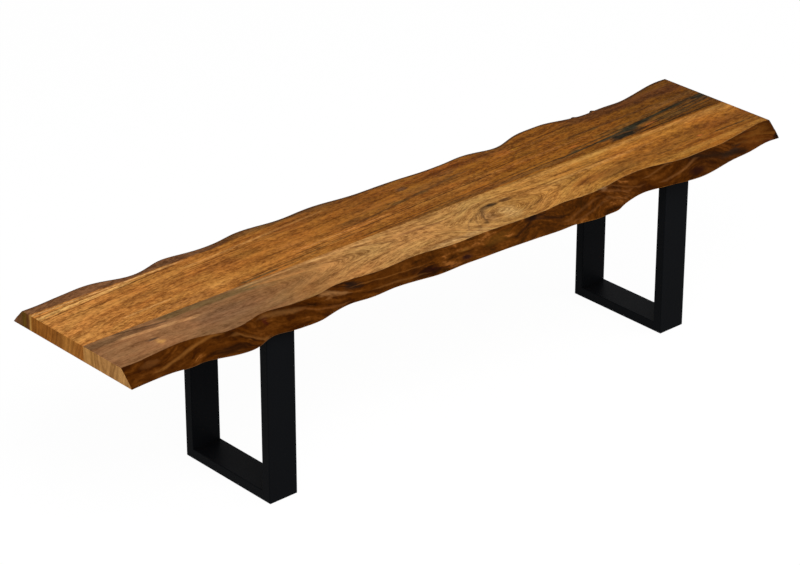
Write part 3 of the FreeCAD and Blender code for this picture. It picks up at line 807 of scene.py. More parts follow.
    def edge_colour(self, ground: Ground, fibres: NodeSocket) -> NodeSocket:
        """Work out the colour of the live edge: dark wood from under the bark, with flames of figure.

        Its grain follows a lane of its own, which is the height above the underside less the rise of
        every sway passed on the way from the left end. Its contrast is stronger in the middle part.
        """
        shade, along, height = ground.shade, ground.along, ground.height
        lane = shade.sums("SUBTRACT", height, self.underside)
        lane = self.climbed(shade, lane, along, self.edge_sways, -1)
        lane = shade.sums("MULTIPLY_ADD", self.EDGE_WOBBLE.read(ground, height), 0.018, lane)
        flames, patches = self.FLAMES.read(ground, lane), self.PATCHES.read(ground, lane)
        cells = zip((along, height, ground.across), self.GRIT_CELLS)
        grit = shade.noise(shade.vector(*(shade.scaled(way, count) for way, count in cells)), detail=3)
        depth = shade.sums("MULTIPLY_ADD", flames, 1.2, shade.scaled(patches, 1.6, -0.9))
        depth = shade.sums("ADD", depth, shade.swing(grit, 0.35))
        depth = shade.sums("ADD", depth, shade.swing(fibres, 0.3))
        contrast = shade.scaled(shade.window(along, 0.88, 1.38, 0.14), 0.50, 0.74)
        depth = shade.sums("MULTIPLY_ADD", shade.swing(depth), contrast, 0.5)
        colour = shade.ramp(shade.held(depth), self.edge_tones)
        lift = shade.scaled(height, 1 / self.thickness, -self.underside / self.thickness)
        stir = shade.sums("MULTIPLY_ADD", flames, 1.6, shade.scaled(patches, 1.0, -1.3))
        sources = self.stirred(shade, along, lift, stir, self.EDGE_STIR)
        colour = self.lay_marks(shade, colour, self.edge_spots, self.edge_streaks, sources)
        shine = shade.sums("MULTIPLY_ADD", flames, 1.0, shade.scaled(grit, 0.6, -0.8))
        shine = shade.sums("MULTIPLY_ADD", shine, contrast, 0.97)
        return shade.tint(1.0, colour, shade.vector(shine, shine, shine), Blend.MULTIPLY)


@dataclass(frozen=True)
class Coating:
    """A plain finish for metal or plastic, with a little unevenness in its gloss and its surface.

    The grain is the fine noise's cells in a metre, and the broad noise's cells are BROADER as wide.
    """

    BROADER = 60

    name: str
    colour: Colour
    roughness: float
    metallic: float = 0.0
    specular: float = 0.5
    grain: float = 1400.0
    depth: float = 0.00002
    unevenness: float = 0.12

    def finish(self) -> Material:
        """Build the finish's material: fine noise moves the tone, the roughness and the surface."""
        shade = Shading(self.name)
        fine = shade.noise(shade.place, scale=self.grain, detail=2)
        broad = shade.noise(shade.place, scale=self.grain / self.BROADER, detail=3)
        worn = tuple(min(1.0, part * (1 + self.unevenness)) for part in self.colour[:3]) + (1.0,)
        shade.feed(shade.surface.inputs["Base Color"], shade.tint(broad, self.colour, worn))
        shade.gloss(
            shade.sums("MULTIPLY_ADD", broad, self.unevenness, self.roughness - self.unevenness / 2),
            self.specular, self.metallic,
        )
        shade.relief(fine, self.depth)
        return shade.material


@dataclass(frozen=True)
class Knot:
    """A knot of the live edge at a place along it and up it, or a hollow where the rise is negative."""

    place: Pair
    reach: Pair
    rise: float

    def height(self, along: np.ndarray, lift: np.ndarray) -> np.ndarray:
        """Give the knot's bell: its rise at its place, falling off by its reach each way."""
        (first, second), (run, up) = self.place, self.reach
        return self.rise * np.exp(-((along - first) / run) ** 2 - ((lift - second) / up) ** 2)


# Knots of the front edge, and of the rear edge, where two stand out as small spurs at the lip
KNOTS: Dict[Side, Tuple[Knot, ...]] = {
    Side.FRONT: (
        Knot((0.625, 0.80), (0.030, 0.26), 0.0022),
        Knot((0.842, 0.35), (0.026, 0.22), 0.0016),
        Knot((1.170, 0.62), (0.045, 0.30), -0.0016),
        Knot((1.400, 1.00), (0.012, 0.18), 0.0016),
        Knot((1.820, 0.35), (0.040, 0.30), -0.0018),
    ),
    Side.REAR: (
        Knot((1.647, 1.00), (0.0050, 0.16), 0.0048),
        Knot((1.710, 1.00), (0.0052, 0.16), 0.0066),
        Knot((0.420, 0.45), (0.035, 0.28), 0.0018),
        Knot((1.120, 0.50), (0.040, 0.30), -0.0015),
    ),
}


@dataclass
class Board:
    """One board of the seat, from the glue line to its live edge.

    Each ridge row gives the rise of the live edge's ridges, their cells in a metre up the edge and
    along it, and their seed. The ridges wander up and down by the wander, with cells and a seed too.
    """

    RIDGES = ((0.0009, 95, 9, 11), (0.0005, 210, 22, 12), (0.0012, 30, 4.5, 13))
    WANDER = (0.010, 3.1, 3)

    side: Side
    length: float = 2.0
    seat_height: float = 0.465
    thickness: float = 0.038
    top_width: float = 0.358
    wave: float = 0.025
    flare: float = 0.042
    front_bulge: float = 0.0015
    rear_bulge: float = 0.001
    joint_setback: float = 0.025
    joint_slant: float = 0.008
    lip_radius: float = 0.0014
    foot_radius: float = 0.0012
    end_ease: float = 0.0008
    end_pull: float = 0.8
    end_fade: float = 0.030
    rim_fade: float = 1 / 6
    crease: float = 38.0
    stations: int = 640
    top_rows: int = 10
    corner_rows: int = 4
    edge_rows: int = 30

    @property
    def node(self) -> str:
        """Name of the CAD node that the board stands for."""
        return f"{self.side.name.lower()}_board"

    def edge_line(self, column: Column, share: np.ndarray) -> np.ndarray:
        """Read one column of the live edge's shares along the bench."""
        table = np.array(EDGE_SHARES)
        return natural_spline(table[:, Column.STATION.value], table[:, column.value], share)

    def edge_reach(self, share: np.ndarray, lift: np.ndarray) -> np.ndarray:
        """Give the live edge's place across the bench.

        Formula: half the top's width, plus the foot's share of the flare times (1 - lift), plus the
        bulge times 4 lift (1 - lift), plus the relief, all outwards, and then the wave rearwards.

        Args:
            share: Share of the length from the left end.
            lift: Share of the thickness above the underside.

        Returns:
            Place along y.
        """
        rear = self.side is Side.REAR
        wave = self.edge_line(Column.REAR_WAVE if rear else Column.FRONT_WAVE, share) * self.wave
        foot = self.edge_line(Column.REAR_FOOT if rear else Column.FRONT_FOOT, share) * self.flare
        bulge = self.rear_bulge if rear else self.front_bulge
        out = self.top_width / 2 + foot * (1 - lift) + bulge * 4 * lift * (1 - lift)
        return self.side.value * (out + self.relief(share * self.length, lift)) + wave

    def relief(self, along: np.ndarray, lift: np.ndarray) -> np.ndarray:
        """Give the fine relief of the live edge outwards: long ridges, tool flats and knots.

        The ridges fade out towards the lip, the foot and the two ends.
        """
        height = lift * self.thickness
        wander, cells, wander_seed = self.WANDER
        skew = height + wander * ripple(along * cells, along * 0, wander_seed)
        ridges = sum(rise * ripple(skew * up, along * run, seed) for rise, up, run, seed in self.RIDGES)
        knots = sum(knot.height(along, lift) for knot in KNOTS[self.side])
        fade = np.clip(np.minimum(lift, 1 - lift) / self.rim_fade, 0, 1)
        fade = fade * np.clip(np.minimum(along, self.length - along) / self.end_fade, 0, 1)
        return ridges * fade + knots

    def section(self, share: np.ndarray) -> Tuple[np.ndarray, np.ndarray, np.ndarray, np.ndarray]:
        """Work out the closed outline of the board at each station.

        The outline runs from the glue line over the top to the lip, round the lip, down the live
        edge, round the foot, back under the board and up the glue line. The two corners are
        quadratic curves between points a radius away from the sharp corner on either side.

        Args:
            share: Share of the length from the left end, one for each station.

        Returns:
            Places along y and z, the live edge's mask and the distance from its lip over the top,
            each stations by outline points.
        """
        station = share[:, None]
        joint = -self.joint_setback + (share - 0.5) * self.joint_slant
        under, top = self.seat_height - self.thickness, self.seat_height
        lip_lift, foot_lift = 1 - self.lip_radius / self.thickness, self.foot_radius / self.thickness
        lifts = np.linspace(lip_lift, foot_lift, self.edge_rows)[None, :]
        face = self.edge_reach(np.broadcast_to(station, (len(share), self.edge_rows)), lifts)
        face_height = under + lifts * self.thickness + 0 * station
        lip = self.edge_reach(share, np.ones_like(share))
        foot = self.edge_reach(share, np.zeros_like(share))
        inward = -self.side.value
        turn = np.linspace(0, 1, self.corner_rows + 2)[None, 1:-1]
        full = np.ones_like(share)
        top_end = lip + inward * self.lip_radius
        under_end = foot + inward * self.foot_radius
        spread = np.linspace(0, 1, self.top_rows)[None, :]
        over = joint[:, None] * (1 - spread) + top_end[:, None] * spread
        back = under_end[:, None] * (1 - spread) + joint[:, None] * spread
        flat = np.ones((len(share), self.top_rows))
        lip_turn = rounded(top_end, lip, face[:, 0], turn)
        foot_turn = rounded(face[:, -1], foot, under_end, turn)
        places = [over, lip_turn, face, foot_turn, back]
        heights = [
            flat * top, rounded(full * top, full * top, face_height[:, 0], turn), face_height,
            rounded(face_height[:, -1], full * under, full * under, turn), flat * under,
        ]
        masks = [
            flat * 0, full[:, None] * turn ** 0.5, np.ones_like(face), full[:, None] * (1 - turn), flat * 0,
        ]
        bend = np.ones((len(share), self.corner_rows))
        rims = [np.abs(over - lip[:, None]), bend * 0, face * 0, bend, flat]
        return np.hstack(places), np.hstack(heights), np.hstack(masks), np.hstack(rims)

    def build(self, finish: Material) -> Object:
        """Make the board's mesh, cut its bores and dress it.

        The outline is carried along the stations. At both ends it is drawn in by the ease of the end
        edges and closed by one flat face.

        Args:
            finish: The board's material.

        Returns:
            The board.
        """
        half = self.length / 2
        inner = np.linspace(-half + self.end_ease, half - self.end_ease, self.stations)
        x = np.concatenate([[-half], inner, [half]])
        y, z, mask, rim = self.section((np.clip(x, inner[0], inner[-1]) + half) / self.length)
        for part in (y, z):
            for row in (0, -1):
                inward = part[row].mean() - part[row]
                part[row] += np.clip(inward, -self.end_ease, self.end_ease) * self.end_pull
        points = np.stack([np.broadcast_to(x[:, None], y.shape), y, z], axis=-1)
        rows, columns = y.shape
        quads = grid_faces(rows, columns)
        caps = [list(range(columns)), list(range((rows - 1) * columns, rows * columns))[::-1]]
        if self.side is Side.FRONT:
            quads, caps = quads[:, ::-1], [cap[::-1] for cap in caps]
        piece = new_piece(f"{self.node}_wood", points, quads.tolist() + caps)
        for name, values in (("live_edge", mask), ("rim", rim)):
            attribute = piece.data.attributes.new(name, "FLOAT", "POINT")
            attribute.data.foreach_set("value", values.astype(np.float32).ravel())
        self.cut_bores(piece)
        smooth_shade(piece.data, self.crease)
        piece.data.materials.clear()
        piece.data.materials.append(finish)
        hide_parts(self.node)
        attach(piece, BODY)
        return piece

    def cut_bores(self, piece: Object) -> None:
        """Cut the blind bores of the threaded inserts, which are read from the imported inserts."""
        bore_radius, bore_depth, overrun, sides = 0.0061, 0.020, 0.004, 48
        under = self.seat_height - self.thickness
        centres = [
            place for leg in ("left", "right") for place in ring_centres(f"{leg}_threaded_inserts")
            if (place[1] > -self.joint_setback) == (self.side is Side.REAR)
        ]
        turn = np.linspace(0, 2 * np.pi, sides + 1)[:-1]
        ring = np.stack([np.cos(turn), np.sin(turn)], axis=-1) * bore_radius
        points, faces = [], []
        for number, centre in enumerate(centres):
            for height in (under - overrun, under + bore_depth):
                points.append(np.column_stack([ring + np.array(centre), np.full(sides, height)]))
            start = number * 2 * sides
            bottom, lid = range(start, start + sides), range(start + sides, start + 2 * sides)
            faces += (grid_faces(2, sides) + start).tolist()
            faces += [list(bottom)[::-1], list(lid)]
        cutter = new_piece("bore_cutter", np.concatenate(points), faces)
        modifier = piece.modifiers.new("bores", "BOOLEAN")
        modifier.operation = "DIFFERENCE"
        modifier.solver = "EXACT"
        modifier.object = cutter
        bpy.context.view_layer.update()
        worked = piece.evaluated_get(bpy.context.evaluated_depsgraph_get())
        cut = bpy.data.meshes.new_from_object(worked)
        piece.modifiers.clear()
        piece.data = cut
        cut.name = piece.name
        bpy.data.objects.remove(cutter)


def ring_centres(node: str) -> List[Pair]:
    """Find the middles of the separate rings in a CAD node.

    The rings stand at the corners of a rectangle, so each is in one quarter of the node's box.

    Args:
        node: Name of a CAD node that holds four rings.

    Returns:
        The middle of each ring, along x and y.
    """
    mesh = frame["nodes"][node].data
    places = np.empty(len(mesh.vertices) * 3)
    mesh.vertices.foreach_get("co", places)
    places = places.reshape(-1, 3)[:, :2]
    middle = (places.min(0) + places.max(0)) / 2
    centres = []
    for right in (False, True):
        for rear in (False, True):
            inside = ((places[:, 0] > middle[0]) == right) & ((places[:, 1] > middle[1]) == rear)
            ring = places[inside]
            centres.append(tuple(((ring.min(0) + ring.max(0)) / 2).tolist()))
    return centres


@dataclass
class WeldBead:
    """The fillet weld round the top of an upright, under its mounting plate.

    The swell is its ripples' share of the size, and the unevenness is that of a slower random change.
    The root is how deep, as shares of the size, the section is sunk in the tube and in the plate.
    """

    UNEVEN_CELLS, UNEVEN_SEED = 60, 21

    upright: str
    size: float = 0.0035
    corner: float = 0.002
    ripple_pitch: float = 0.0032
    swell: float = 0.10
    unevenness: float = 0.08
    hollow: float = 1.15
    root: Pair = (0.3, 0.05)
    crease: float = 50.0
    stations: int = 420
    section_points: int = 9

    def build(self, finish: Material) -> Object:
        """Make the bead: a quarter-round section carried along the tube's outline.

        The outline is a rounded rectangle walked at an even pace. The section's radius swells with
        each ripple, and its two legs lie on the tube and on the plate.

        Args:
            finish: The bead's material.

        Returns:
            The bead.
        """
        low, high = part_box(self.upright)
        half = np.array([(high.x - low.x) / 2, (high.y - low.y) / 2])
        centre = np.array([(high.x + low.x) / 2, (high.y + low.y) / 2])
        path, outward, travelled = self.outline(half)
        swell = 1 + self.swell * np.sin(travelled / self.ripple_pitch * 2 * np.pi)
        uneven = ripple(travelled * self.UNEVEN_CELLS, travelled * 0, self.UNEVEN_SEED)
        swell = swell * (1 + self.unevenness * uneven)
        turn = np.linspace(0, np.pi / 2, self.section_points)
        reach = np.concatenate([[-self.root[0]], np.cos(turn) ** self.hollow])
        drop = np.concatenate([[-self.root[1]], np.sin(turn) ** self.hollow])
        width = swell[:, None] * self.size
        xy = path[:, None, :] + outward[:, None, :] * (reach[None, :, None] * width[..., None])
        z = high.z - drop[None, :] * width
        points = np.concatenate([xy + centre, z[..., None]], axis=-1)
        faces = grid_faces(len(path), len(reach), closed_rows=True)[:, ::-1]
        piece = new_piece(f"{self.upright}_weld", points, faces.tolist())
        smooth_shade(piece.data, self.crease)
        piece.data.materials.append(finish)
        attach(piece, BODY)
        return piece

    def outline(self, half: np.ndarray) -> Tuple[np.ndarray, np.ndarray, np.ndarray]:
        """Walk a rounded rectangle of these half sizes once round.

        Returns:
            Points, outward directions and the distance travelled at each point.
        """
        straight = half - self.corner
        bend = self.corner * np.pi / 2
        legs = np.array([2 * straight[1], bend, 2 * straight[0], bend] * 2)
        marks = np.concatenate([[0], np.cumsum(legs)])
        travelled = np.linspace(0, marks[-1], self.stations, endpoint=False)
        leg = np.searchsorted(marks, travelled, side="right") - 1
        part = (travelled - marks[leg]) / legs[leg]
        angle = (leg // 2 + (leg % 2) * part) * np.pi / 2
        outward = np.stack([np.cos(angle), np.sin(angle)], axis=-1)
        signs = np.array([[1, -1], [1, 1], [1, 1], [-1, 1], [-1, 1], [-1, -1], [-1, -1], [1, -1]])
        ends = np.array([[1, 1], [1, 1], [-1, 1], [-1, 1], [-1, -1], [-1, -1], [1, -1], [1, -1]])
        start, finish = signs[leg] * straight, ends[leg] * straight
        on_straight = (leg % 2 == 0)[:, None]
        base = np.where(on_straight, start * (1 - part[:, None]) + finish * part[:, None], finish)
        return base + outward * self.corner, outward, travelled


@dataclass
class Legs:
    """The two steel legs with their fixings, whose CAD shapes stay."""

    paint_finish: Coating = Coating(
        "satin_black_powder_coat", paint(12, 13, 15), 0.42, specular=0.012, grain=900, depth=0.00003,
    )
    zinc: Coating = Coating("zinc_plating", paint(176, 176, 178), 0.34, 1.0, grain=1600, depth=0.00001)
    washer_zinc: Coating = Coating(
        "washer_zinc", paint(186, 186, 186), 0.30, 1.0, grain=1600, depth=0.00001,
    )
    brass: Coating = Coating("turned_brass", paint(206, 168, 96), 0.28, 1.0, grain=1600, depth=0.00001)
    plastic: Coating = Coating("black_glide_plastic", paint(24, 24, 25), 0.55, specular=0.4, grain=2200)

    def dress(self) -> List[Object]:
        """Give each CAD node of the legs its finish and add the weld beads.

        Returns:
            The weld beads.
        """
        by_slot: Dict[str, Material] = {
            "leg_paint": self.paint_finish.finish(),
            "bolt_steel": self.zinc.finish(),
            "washer_steel": self.washer_zinc.finish(),
            "insert_brass": self.brass.finish(),
            "glide_plastic": self.plastic.finish(),
        }
        for part in frame["record"]["subparts"]:
            finish = by_slot.get(part["material_slot"])
            if finish is not None:
                node = frame["nodes"][part["node"]]
                for slot in node.material_slots:
                    slot.material = finish
                log.info("%s dressed in %s", part["node"], finish.name)
        uprights = [f"{leg}_{end}_upright" for leg in ("left", "right") for end in ("front", "rear")]
        return [WeldBead(upright).build(by_slot["leg_paint"]) for upright in uprights]


@dataclass(frozen=True)
class Lamp:
    """A soft square lamp that faces the middle of the bench."""

    name: str
    place: Point
    power: float
    size: float
    aim: Point = (0.0, 0.0, 0.3)

    def hang(self) -> None:
        """Hang the lamp in its place, turned to its aim."""
        data = bpy.data.lights.new(self.name, "AREA")
        data.energy = self.power
        data.size = self.size
        lamp = bpy.data.objects.new(self.name, data)
        lamp.location = self.place
        aim = np.array(self.aim) - np.array(self.place)
        flat = math.hypot(aim[0], aim[1])
        lamp.rotation_euler = (math.atan2(flat, -aim[2]), 0.0, math.atan2(aim[0], -aim[1]) + math.pi)
        bpy.context.scene.collection.objects.link(lamp)


@dataclass
class Studio:
    """The floor, the lamps and the camera.

    The floor is matt grey to the light that it gives the bench. Where it is seen it glows nearly
    white, and a share of the light that falls on it is added, so only a faint shadow shows.
    """

    eye: Point = (-4.2817, -4.7234, 3.4194)
    yaw: float = 41.712
    pitch: float = 26.2405
    lens: float = 135.81
    sensor: float = 36.0
    sky: float = 0.53
    floor_reach: float = 30.0
    floor_tone: float = 0.62
    floor_glow: float = 0.96
    shadow_share: float = 1.2
    lamps: Tuple[Lamp, ...] = (
        Lamp("key_light", (-1.6, -2.6, 3.6), 135.0, 2.6),
        Lamp("fill_light", (3.0, -2.2, 2.2), 42.0, 2.4),
    )

    def build(self) -> None:
        """Make the floor, the light and the camera."""
        self.floor()
        self.sky_light()
        for lamp in self.lamps:
            lamp.hang()
        self.camera()

    def camera(self) -> None:
        """Stand the camera where the photograph was taken from."""
        data = bpy.data.cameras.new("camera")
        data.lens = self.lens
        data.sensor_width = self.sensor
        data.clip_end = 100.0
        camera = bpy.data.objects.new("camera", data)
        camera.location = self.eye
        camera.rotation_euler = (math.radians(90 - self.pitch), 0.0, math.radians(-self.yaw))
        bpy.context.scene.collection.objects.link(camera)
        bpy.context.scene.camera = camera

    def seen_ray(self, graph: Graph) -> NodeSocket:
        """Tell whether a ray shows the background: one from the camera, a gloss or a clear surface."""
        path = graph.tree.nodes.new("ShaderNodeLightPath").outputs
        seen = graph.sums("MAXIMUM", path["Is Camera Ray"], path["Is Glossy Ray"])
        return graph.sums("MAXIMUM", seen, path["Is Transmission Ray"])

    def grey(self, tone: float) -> Colour:
        """Make a grey of this linear tone."""
        return (tone, tone, tone, 1.0)

    def sky_light(self) -> None:
        """Light the scene evenly from all round, and show a white background."""
        world = bpy.data.worlds.new("studio")
        world.use_nodes = True
        graph = Graph(world.node_tree)
        background = graph.tree.nodes["Background"]
        background.inputs["Color"].default_value = self.grey(1.0)
        strength = graph.tree.nodes.new("ShaderNodeMapRange")
        strength.inputs["To Min"].default_value = self.sky
        strength.inputs["To Max"].default_value = 1.0
        graph.feed(strength.inputs["Value"], self.seen_ray(graph))
        graph.feed(background.inputs["Strength"], strength.outputs[0])
        bpy.context.scene.world = world

    def floor(self) -> None:
        """Lay the floor: white where it is seen, with only a faint shadow left on it."""
        reach = self.floor_reach
        points = np.array([[-reach, -reach, 0], [reach, -reach, 0], [reach, reach, 0], [-reach, reach, 0]])
        floor = new_piece("floor", points, [[0, 1, 2, 3]])
        material = bpy.data.materials.new("white_floor")
        material.use_nodes = True
        graph = Graph(material.node_tree)
        graph.tree.nodes.clear()
        output = graph.tree.nodes.new("ShaderNodeOutputMaterial")
        matt = graph.add("ShaderNodeBsdfDiffuse", self.grey(self.floor_tone))
        faint = graph.add("ShaderNodeBsdfDiffuse", self.grey(self.shadow_share * (1 - self.floor_glow)))
        glow = graph.add("ShaderNodeEmission", self.grey(1.0), self.floor_glow)
        both = graph.add("ShaderNodeAddShader", faint, glow)
        choice = graph.add("ShaderNodeMixShader", self.seen_ray(graph), matt, both)
        graph.feed(output.inputs["Surface"], choice)
        floor.data.materials.append(material)


def rear_streaks() -> Tuple[Streak, ...]:
    """List the streaks on the rear board's top, in the order in which they are laid."""
    return (
        # Smoky band and fine lines along the rear lip
        Streak((-0.20, 0.198), (0.50, 0.194), 0.0330, paint(110, 72, 43), 0.94, 0.14, 0.86),
        Streak((0.54, 0.190), (0.84, 0.184), 0.0230, paint(104, 66, 30), 0.80, 0.12, 0.5),
        Streak((0.84, 0.176), (1.02, 0.176), 0.0150, paint(108, 68, 30), 0.65, 0.10, 0.4),
        Streak((-0.10, 0.158), (0.38, 0.159), 0.0034, paint(200, 150, 88), 0.80, 0.08),
        Streak((-0.10, 0.130), (0.22, 0.149), 0.0085, paint(204, 152, 82), 0.80, 0.10),
        Streak((-0.10, 0.114), (0.36, 0.153), 0.0024, paint(104, 60, 22), 0.85, 0.05),
        Streak((0.02, 0.146), (0.22, 0.154), 0.0018, paint(110, 66, 26), 0.80, 0.05),
        Streak((0.08, 0.104), (0.52, 0.114), 0.0018, paint(112, 66, 26), 0.70, 0.08),
        Streak((0.42, 0.128), (0.80, 0.152), 0.0060, paint(182, 124, 62), 0.65, 0.06),
        Streak((0.42, 0.119), (0.68, 0.126), 0.0026, paint(108, 64, 24), 0.75, 0.05),
        Streak((0.64, 0.138), (0.86, 0.152), 0.0022, paint(100, 60, 24), 0.70, 0.05),
        # Tones and lines of the middle
        Streak((0.48, 0.016), (1.22, 0.044), 0.0420, paint(166, 105, 42), 0.55, 0.12, 0.2),
        Streak((0.70, 0.150), (1.36, 0.140), 0.0300, paint(112, 62, 20), 0.55, 0.12, 0.2),
        Streak((0.16, 0.019), (0.26, 0.024), 0.0040, paint(192, 138, 76), 0.60, 0.04),
        Streak((0.45, -0.019), (0.54, -0.015), 0.0058, paint(84, 62, 32), 0.85, 0.03),
        Streak((0.54, -0.016), (0.66, -0.010), 0.0022, paint(88, 60, 28), 0.75, 0.04),
        Streak((0.48, -0.010), (0.80, 0.010), 0.0026, paint(96, 62, 26), 0.80, 0.06),
        Streak((0.56, 0.002), (0.76, 0.012), 0.0022, paint(104, 64, 26), 0.70, 0.06),
        Streak((0.66, 0.028), (0.90, 0.036), 0.0036, paint(178, 120, 62), 0.55, 0.06),
        Streak((0.66, 0.016), (1.24, 0.042), 0.0022, paint(92, 54, 20), 0.90, 0.08),
        Streak((0.82, -0.014), (1.40, 0.012), 0.0024, paint(84, 50, 20), 0.85, 0.08),
        Streak((0.92, -0.020), (1.46, -0.010), 0.0080, paint(94, 60, 26), 0.65, 0.10),
        Streak((0.84, 0.046), (1.20, 0.096), 0.0050, paint(94, 60, 28), 0.65, 0.10),
        Streak((0.96, 0.036), (1.22, 0.048), 0.0018, paint(96, 56, 22), 0.70, 0.06),
        # Lines of the right part
        Streak((1.28, 0.060), (1.50, 0.078), 0.0020, paint(88, 50, 18), 0.85, 0.05),
        Streak((1.24, 0.082), (1.46, 0.094), 0.0018, paint(92, 54, 20), 0.75, 0.06),
        Streak((1.38, 0.118), (1.68, 0.138), 0.0018, paint(84, 48, 18), 0.75, 0.06),
        Streak((1.34, 0.104), (1.52, 0.114), 0.0040, paint(152, 98, 44), 0.55, 0.06),
        Streak((1.30, 0.046), (1.56, 0.054), 0.0060, paint(150, 94, 42), 0.50, 0.08),
        # Black heart streak and the dark lines beside it
        Streak((1.30, -0.004), (1.44, 0.002), 0.0024, paint(62, 36, 16), 0.85, 0.05),
        Streak((1.46, -0.002), (1.62, 0.010), 0.0040, paint(48, 38, 20), 0.90, 0.05),
        Streak((1.52, 0.016), (1.74, 0.030), 0.0030, paint(56, 42, 22), 0.80, 0.05),
        Streak((1.60, 0.006), (1.76, 0.024), 0.0075, paint(44, 40, 26), 0.88, 0.05),
        Streak((1.70, 0.022), (1.90, 0.044), 0.0070, paint(40, 38, 24), 0.90, 0.05),
        Streak((1.84, 0.040), (2.06, 0.062), 0.0026, paint(34, 30, 18), 0.90, 0.03),
        Streak((1.62, 0.038), (1.92, 0.056), 0.0022, paint(70, 50, 26), 0.75, 0.06),
        Streak((1.80, -0.008), (2.06, 0.018), 0.0024, paint(46, 34, 18), 0.85, 0.05),
        Streak((1.72, -0.018), (1.94, -0.012), 0.0026, paint(46, 30, 16), 0.85, 0.05),
        Streak((1.88, 0.012), (2.06, 0.034), 0.0040, paint(54, 42, 24), 0.75, 0.05),
        Streak((1.64, -0.012), (1.80, 0.004), 0.0022, paint(44, 32, 18), 0.85, 0.04),
        Streak((1.78, 0.010), (2.06, 0.046), 0.0018, paint(50, 36, 20), 0.85, 0.04),
        Streak((1.90, 0.050), (2.06, 0.060), 0.0018, paint(30, 24, 14), 0.90, 0.03),
        Streak((1.86, 0.020), (2.06, 0.050), 0.0022, paint(44, 34, 20), 0.85, 0.04),
        # Tones of the right end
        Streak((1.56, 0.074), (1.84, 0.082), 0.0060, paint(78, 48, 22), 0.60, 0.08),
        Streak((1.84, 0.066), (2.02, 0.084), 0.0120, paint(122, 80, 38), 0.50, 0.06),
        # Painted shade along the edge at the right end
        Streak((1.999, 0.10), (2.06, 0.10), 0.3000, paint(54, 36, 20), 0.40, 0.007, 0.8),
        Streak((1.66, 0.140), (2.10, 0.126), 0.0300, paint(88, 49, 22), 0.70, 0.15),
    )


def rear_spots() -> Tuple[Spot, ...]:
    """List the spots on the rear board's top, which lie under its streaks."""
    return (
        # Broad shades
        Spot((1.100, 0.088), (0.160, 0.032), paint(112, 66, 28), 0.50, 0.3),
        Spot((0.920, 0.088), (0.100, 0.030), paint(118, 74, 32), 0.35, 0.3),
        Spot((1.300, 0.134), (0.130, 0.022), paint(102, 58, 24), 0.50, 0.3),
        Spot((0.700, 0.134), (0.120, 0.018), paint(128, 72, 26), 0.45, 0.3),
        Spot((0.300, -0.006), (0.130, 0.020), paint(142, 88, 42), 0.50, 0.3),
        Spot((1.200, -0.008), (0.240, 0.014), paint(104, 62, 26), 0.45, 0.3),
        # Round the black heart
        Spot((1.740, 0.024), (0.190, 0.032), paint(96, 66, 28), 0.46, 0.6),
        Spot((1.940, 0.038), (0.120, 0.028), paint(88, 60, 26), 0.50, 0.6),
        Spot((1.660, -0.004), (0.080, 0.020), paint(32, 34, 24), 0.97, 0.7),
        Spot((1.705, 0.012), (0.050, 0.014), paint(40, 40, 28), 0.85, 0.8),
        Spot((1.990, 0.046), (0.055, 0.020), paint(40, 40, 26), 0.92, 0.9),
        Spot((1.505, 0.004), (0.034, 0.009), paint(54, 50, 30), 0.80, 0.9),
        Spot((1.765, 0.005), (0.034, 0.009), paint(172, 100, 40), 0.88, 0.7),
        Spot((1.850, 0.006), (0.075, 0.014), paint(98, 72, 34), 0.60, 0.9),
        Spot((1.520, 0.028), (0.018, 0.006), paint(164, 92, 36), 0.70, 0.6),
        # Clouds of figure
        Spot((0.475, 0.084), (0.080, 0.036), paint(134, 78, 30), 0.60, 1.0),
        Spot((0.225, 0.072), (0.060, 0.030), paint(146, 90, 38), 0.50, 1.0),
        Spot((0.410, 0.010), (0.090, 0.020), paint(190, 128, 60), 0.55, 1.0),
        Spot((0.835, 0.058), (0.070, 0.018), paint(98, 66, 30), 0.60, 1.0),
        Spot((0.985, 0.070), (0.036, 0.012), paint(88, 66, 32), 0.70, 1.0),
        Spot((1.065, 0.076), (0.030, 0.011), paint(86, 64, 30), 0.70, 1.0),
        Spot((1.040, 0.122), (0.026, 0.013), paint(92, 62, 42), 0.75, 0.8),
        Spot((1.180, 0.122), (0.060, 0.018), paint(104, 66, 32), 0.60, 1.0),
        Spot((1.190, 0.152), (0.090, 0.009), paint(164, 90, 32), 0.70, 1.0),
        Spot((1.072, 0.140), (0.022, 0.010), paint(160, 86, 30), 0.65, 0.8),
        Spot((1.365, 0.116), (0.045, 0.018), paint(150, 84, 30), 0.60, 1.0),
        Spot((1.405, 0.113), (0.024, 0.008), paint(168, 114, 34), 0.65, 0.8),
        Spot((1.635, 0.074), (0.018, 0.008), paint(64, 56, 26), 0.65, 0.8),
        Spot((0.650, 0.060), (0.070, 0.016), paint(170, 108, 48), 0.50, 1.0),
        Spot((0.900, 0.120), (0.080, 0.022), paint(128, 78, 28), 0.50, 1.0),
        Spot((1.700, 0.150), (0.070, 0.010), paint(132, 72, 28), 0.55, 1.0),
        # Tops of the two spurs
        Spot((1.649, 0.166), (0.011, 0.009), paint(34, 24, 16), 0.95, 0.4),
        Spot((1.712, 0.162), (0.013, 0.010), paint(30, 22, 16), 0.95, 0.4),
    )


def rear_edge_streaks() -> Tuple[Streak, ...]:
    """List the streaks on the rear live edge."""
    return (
        Streak((0.10, 0.35), (0.24, 0.92), 0.10, paint(126, 80, 36), 0.59, 0.088, 0.0),
        Streak((0.70, 0.80), (0.90, 0.30), 0.09, paint(120, 76, 34), 0.59, 0.110, 0.0),
        Streak((1.24, 0.25), (1.42, 0.85), 0.10, paint(38, 18, 8), 0.68, 0.110, 0.0),
    )


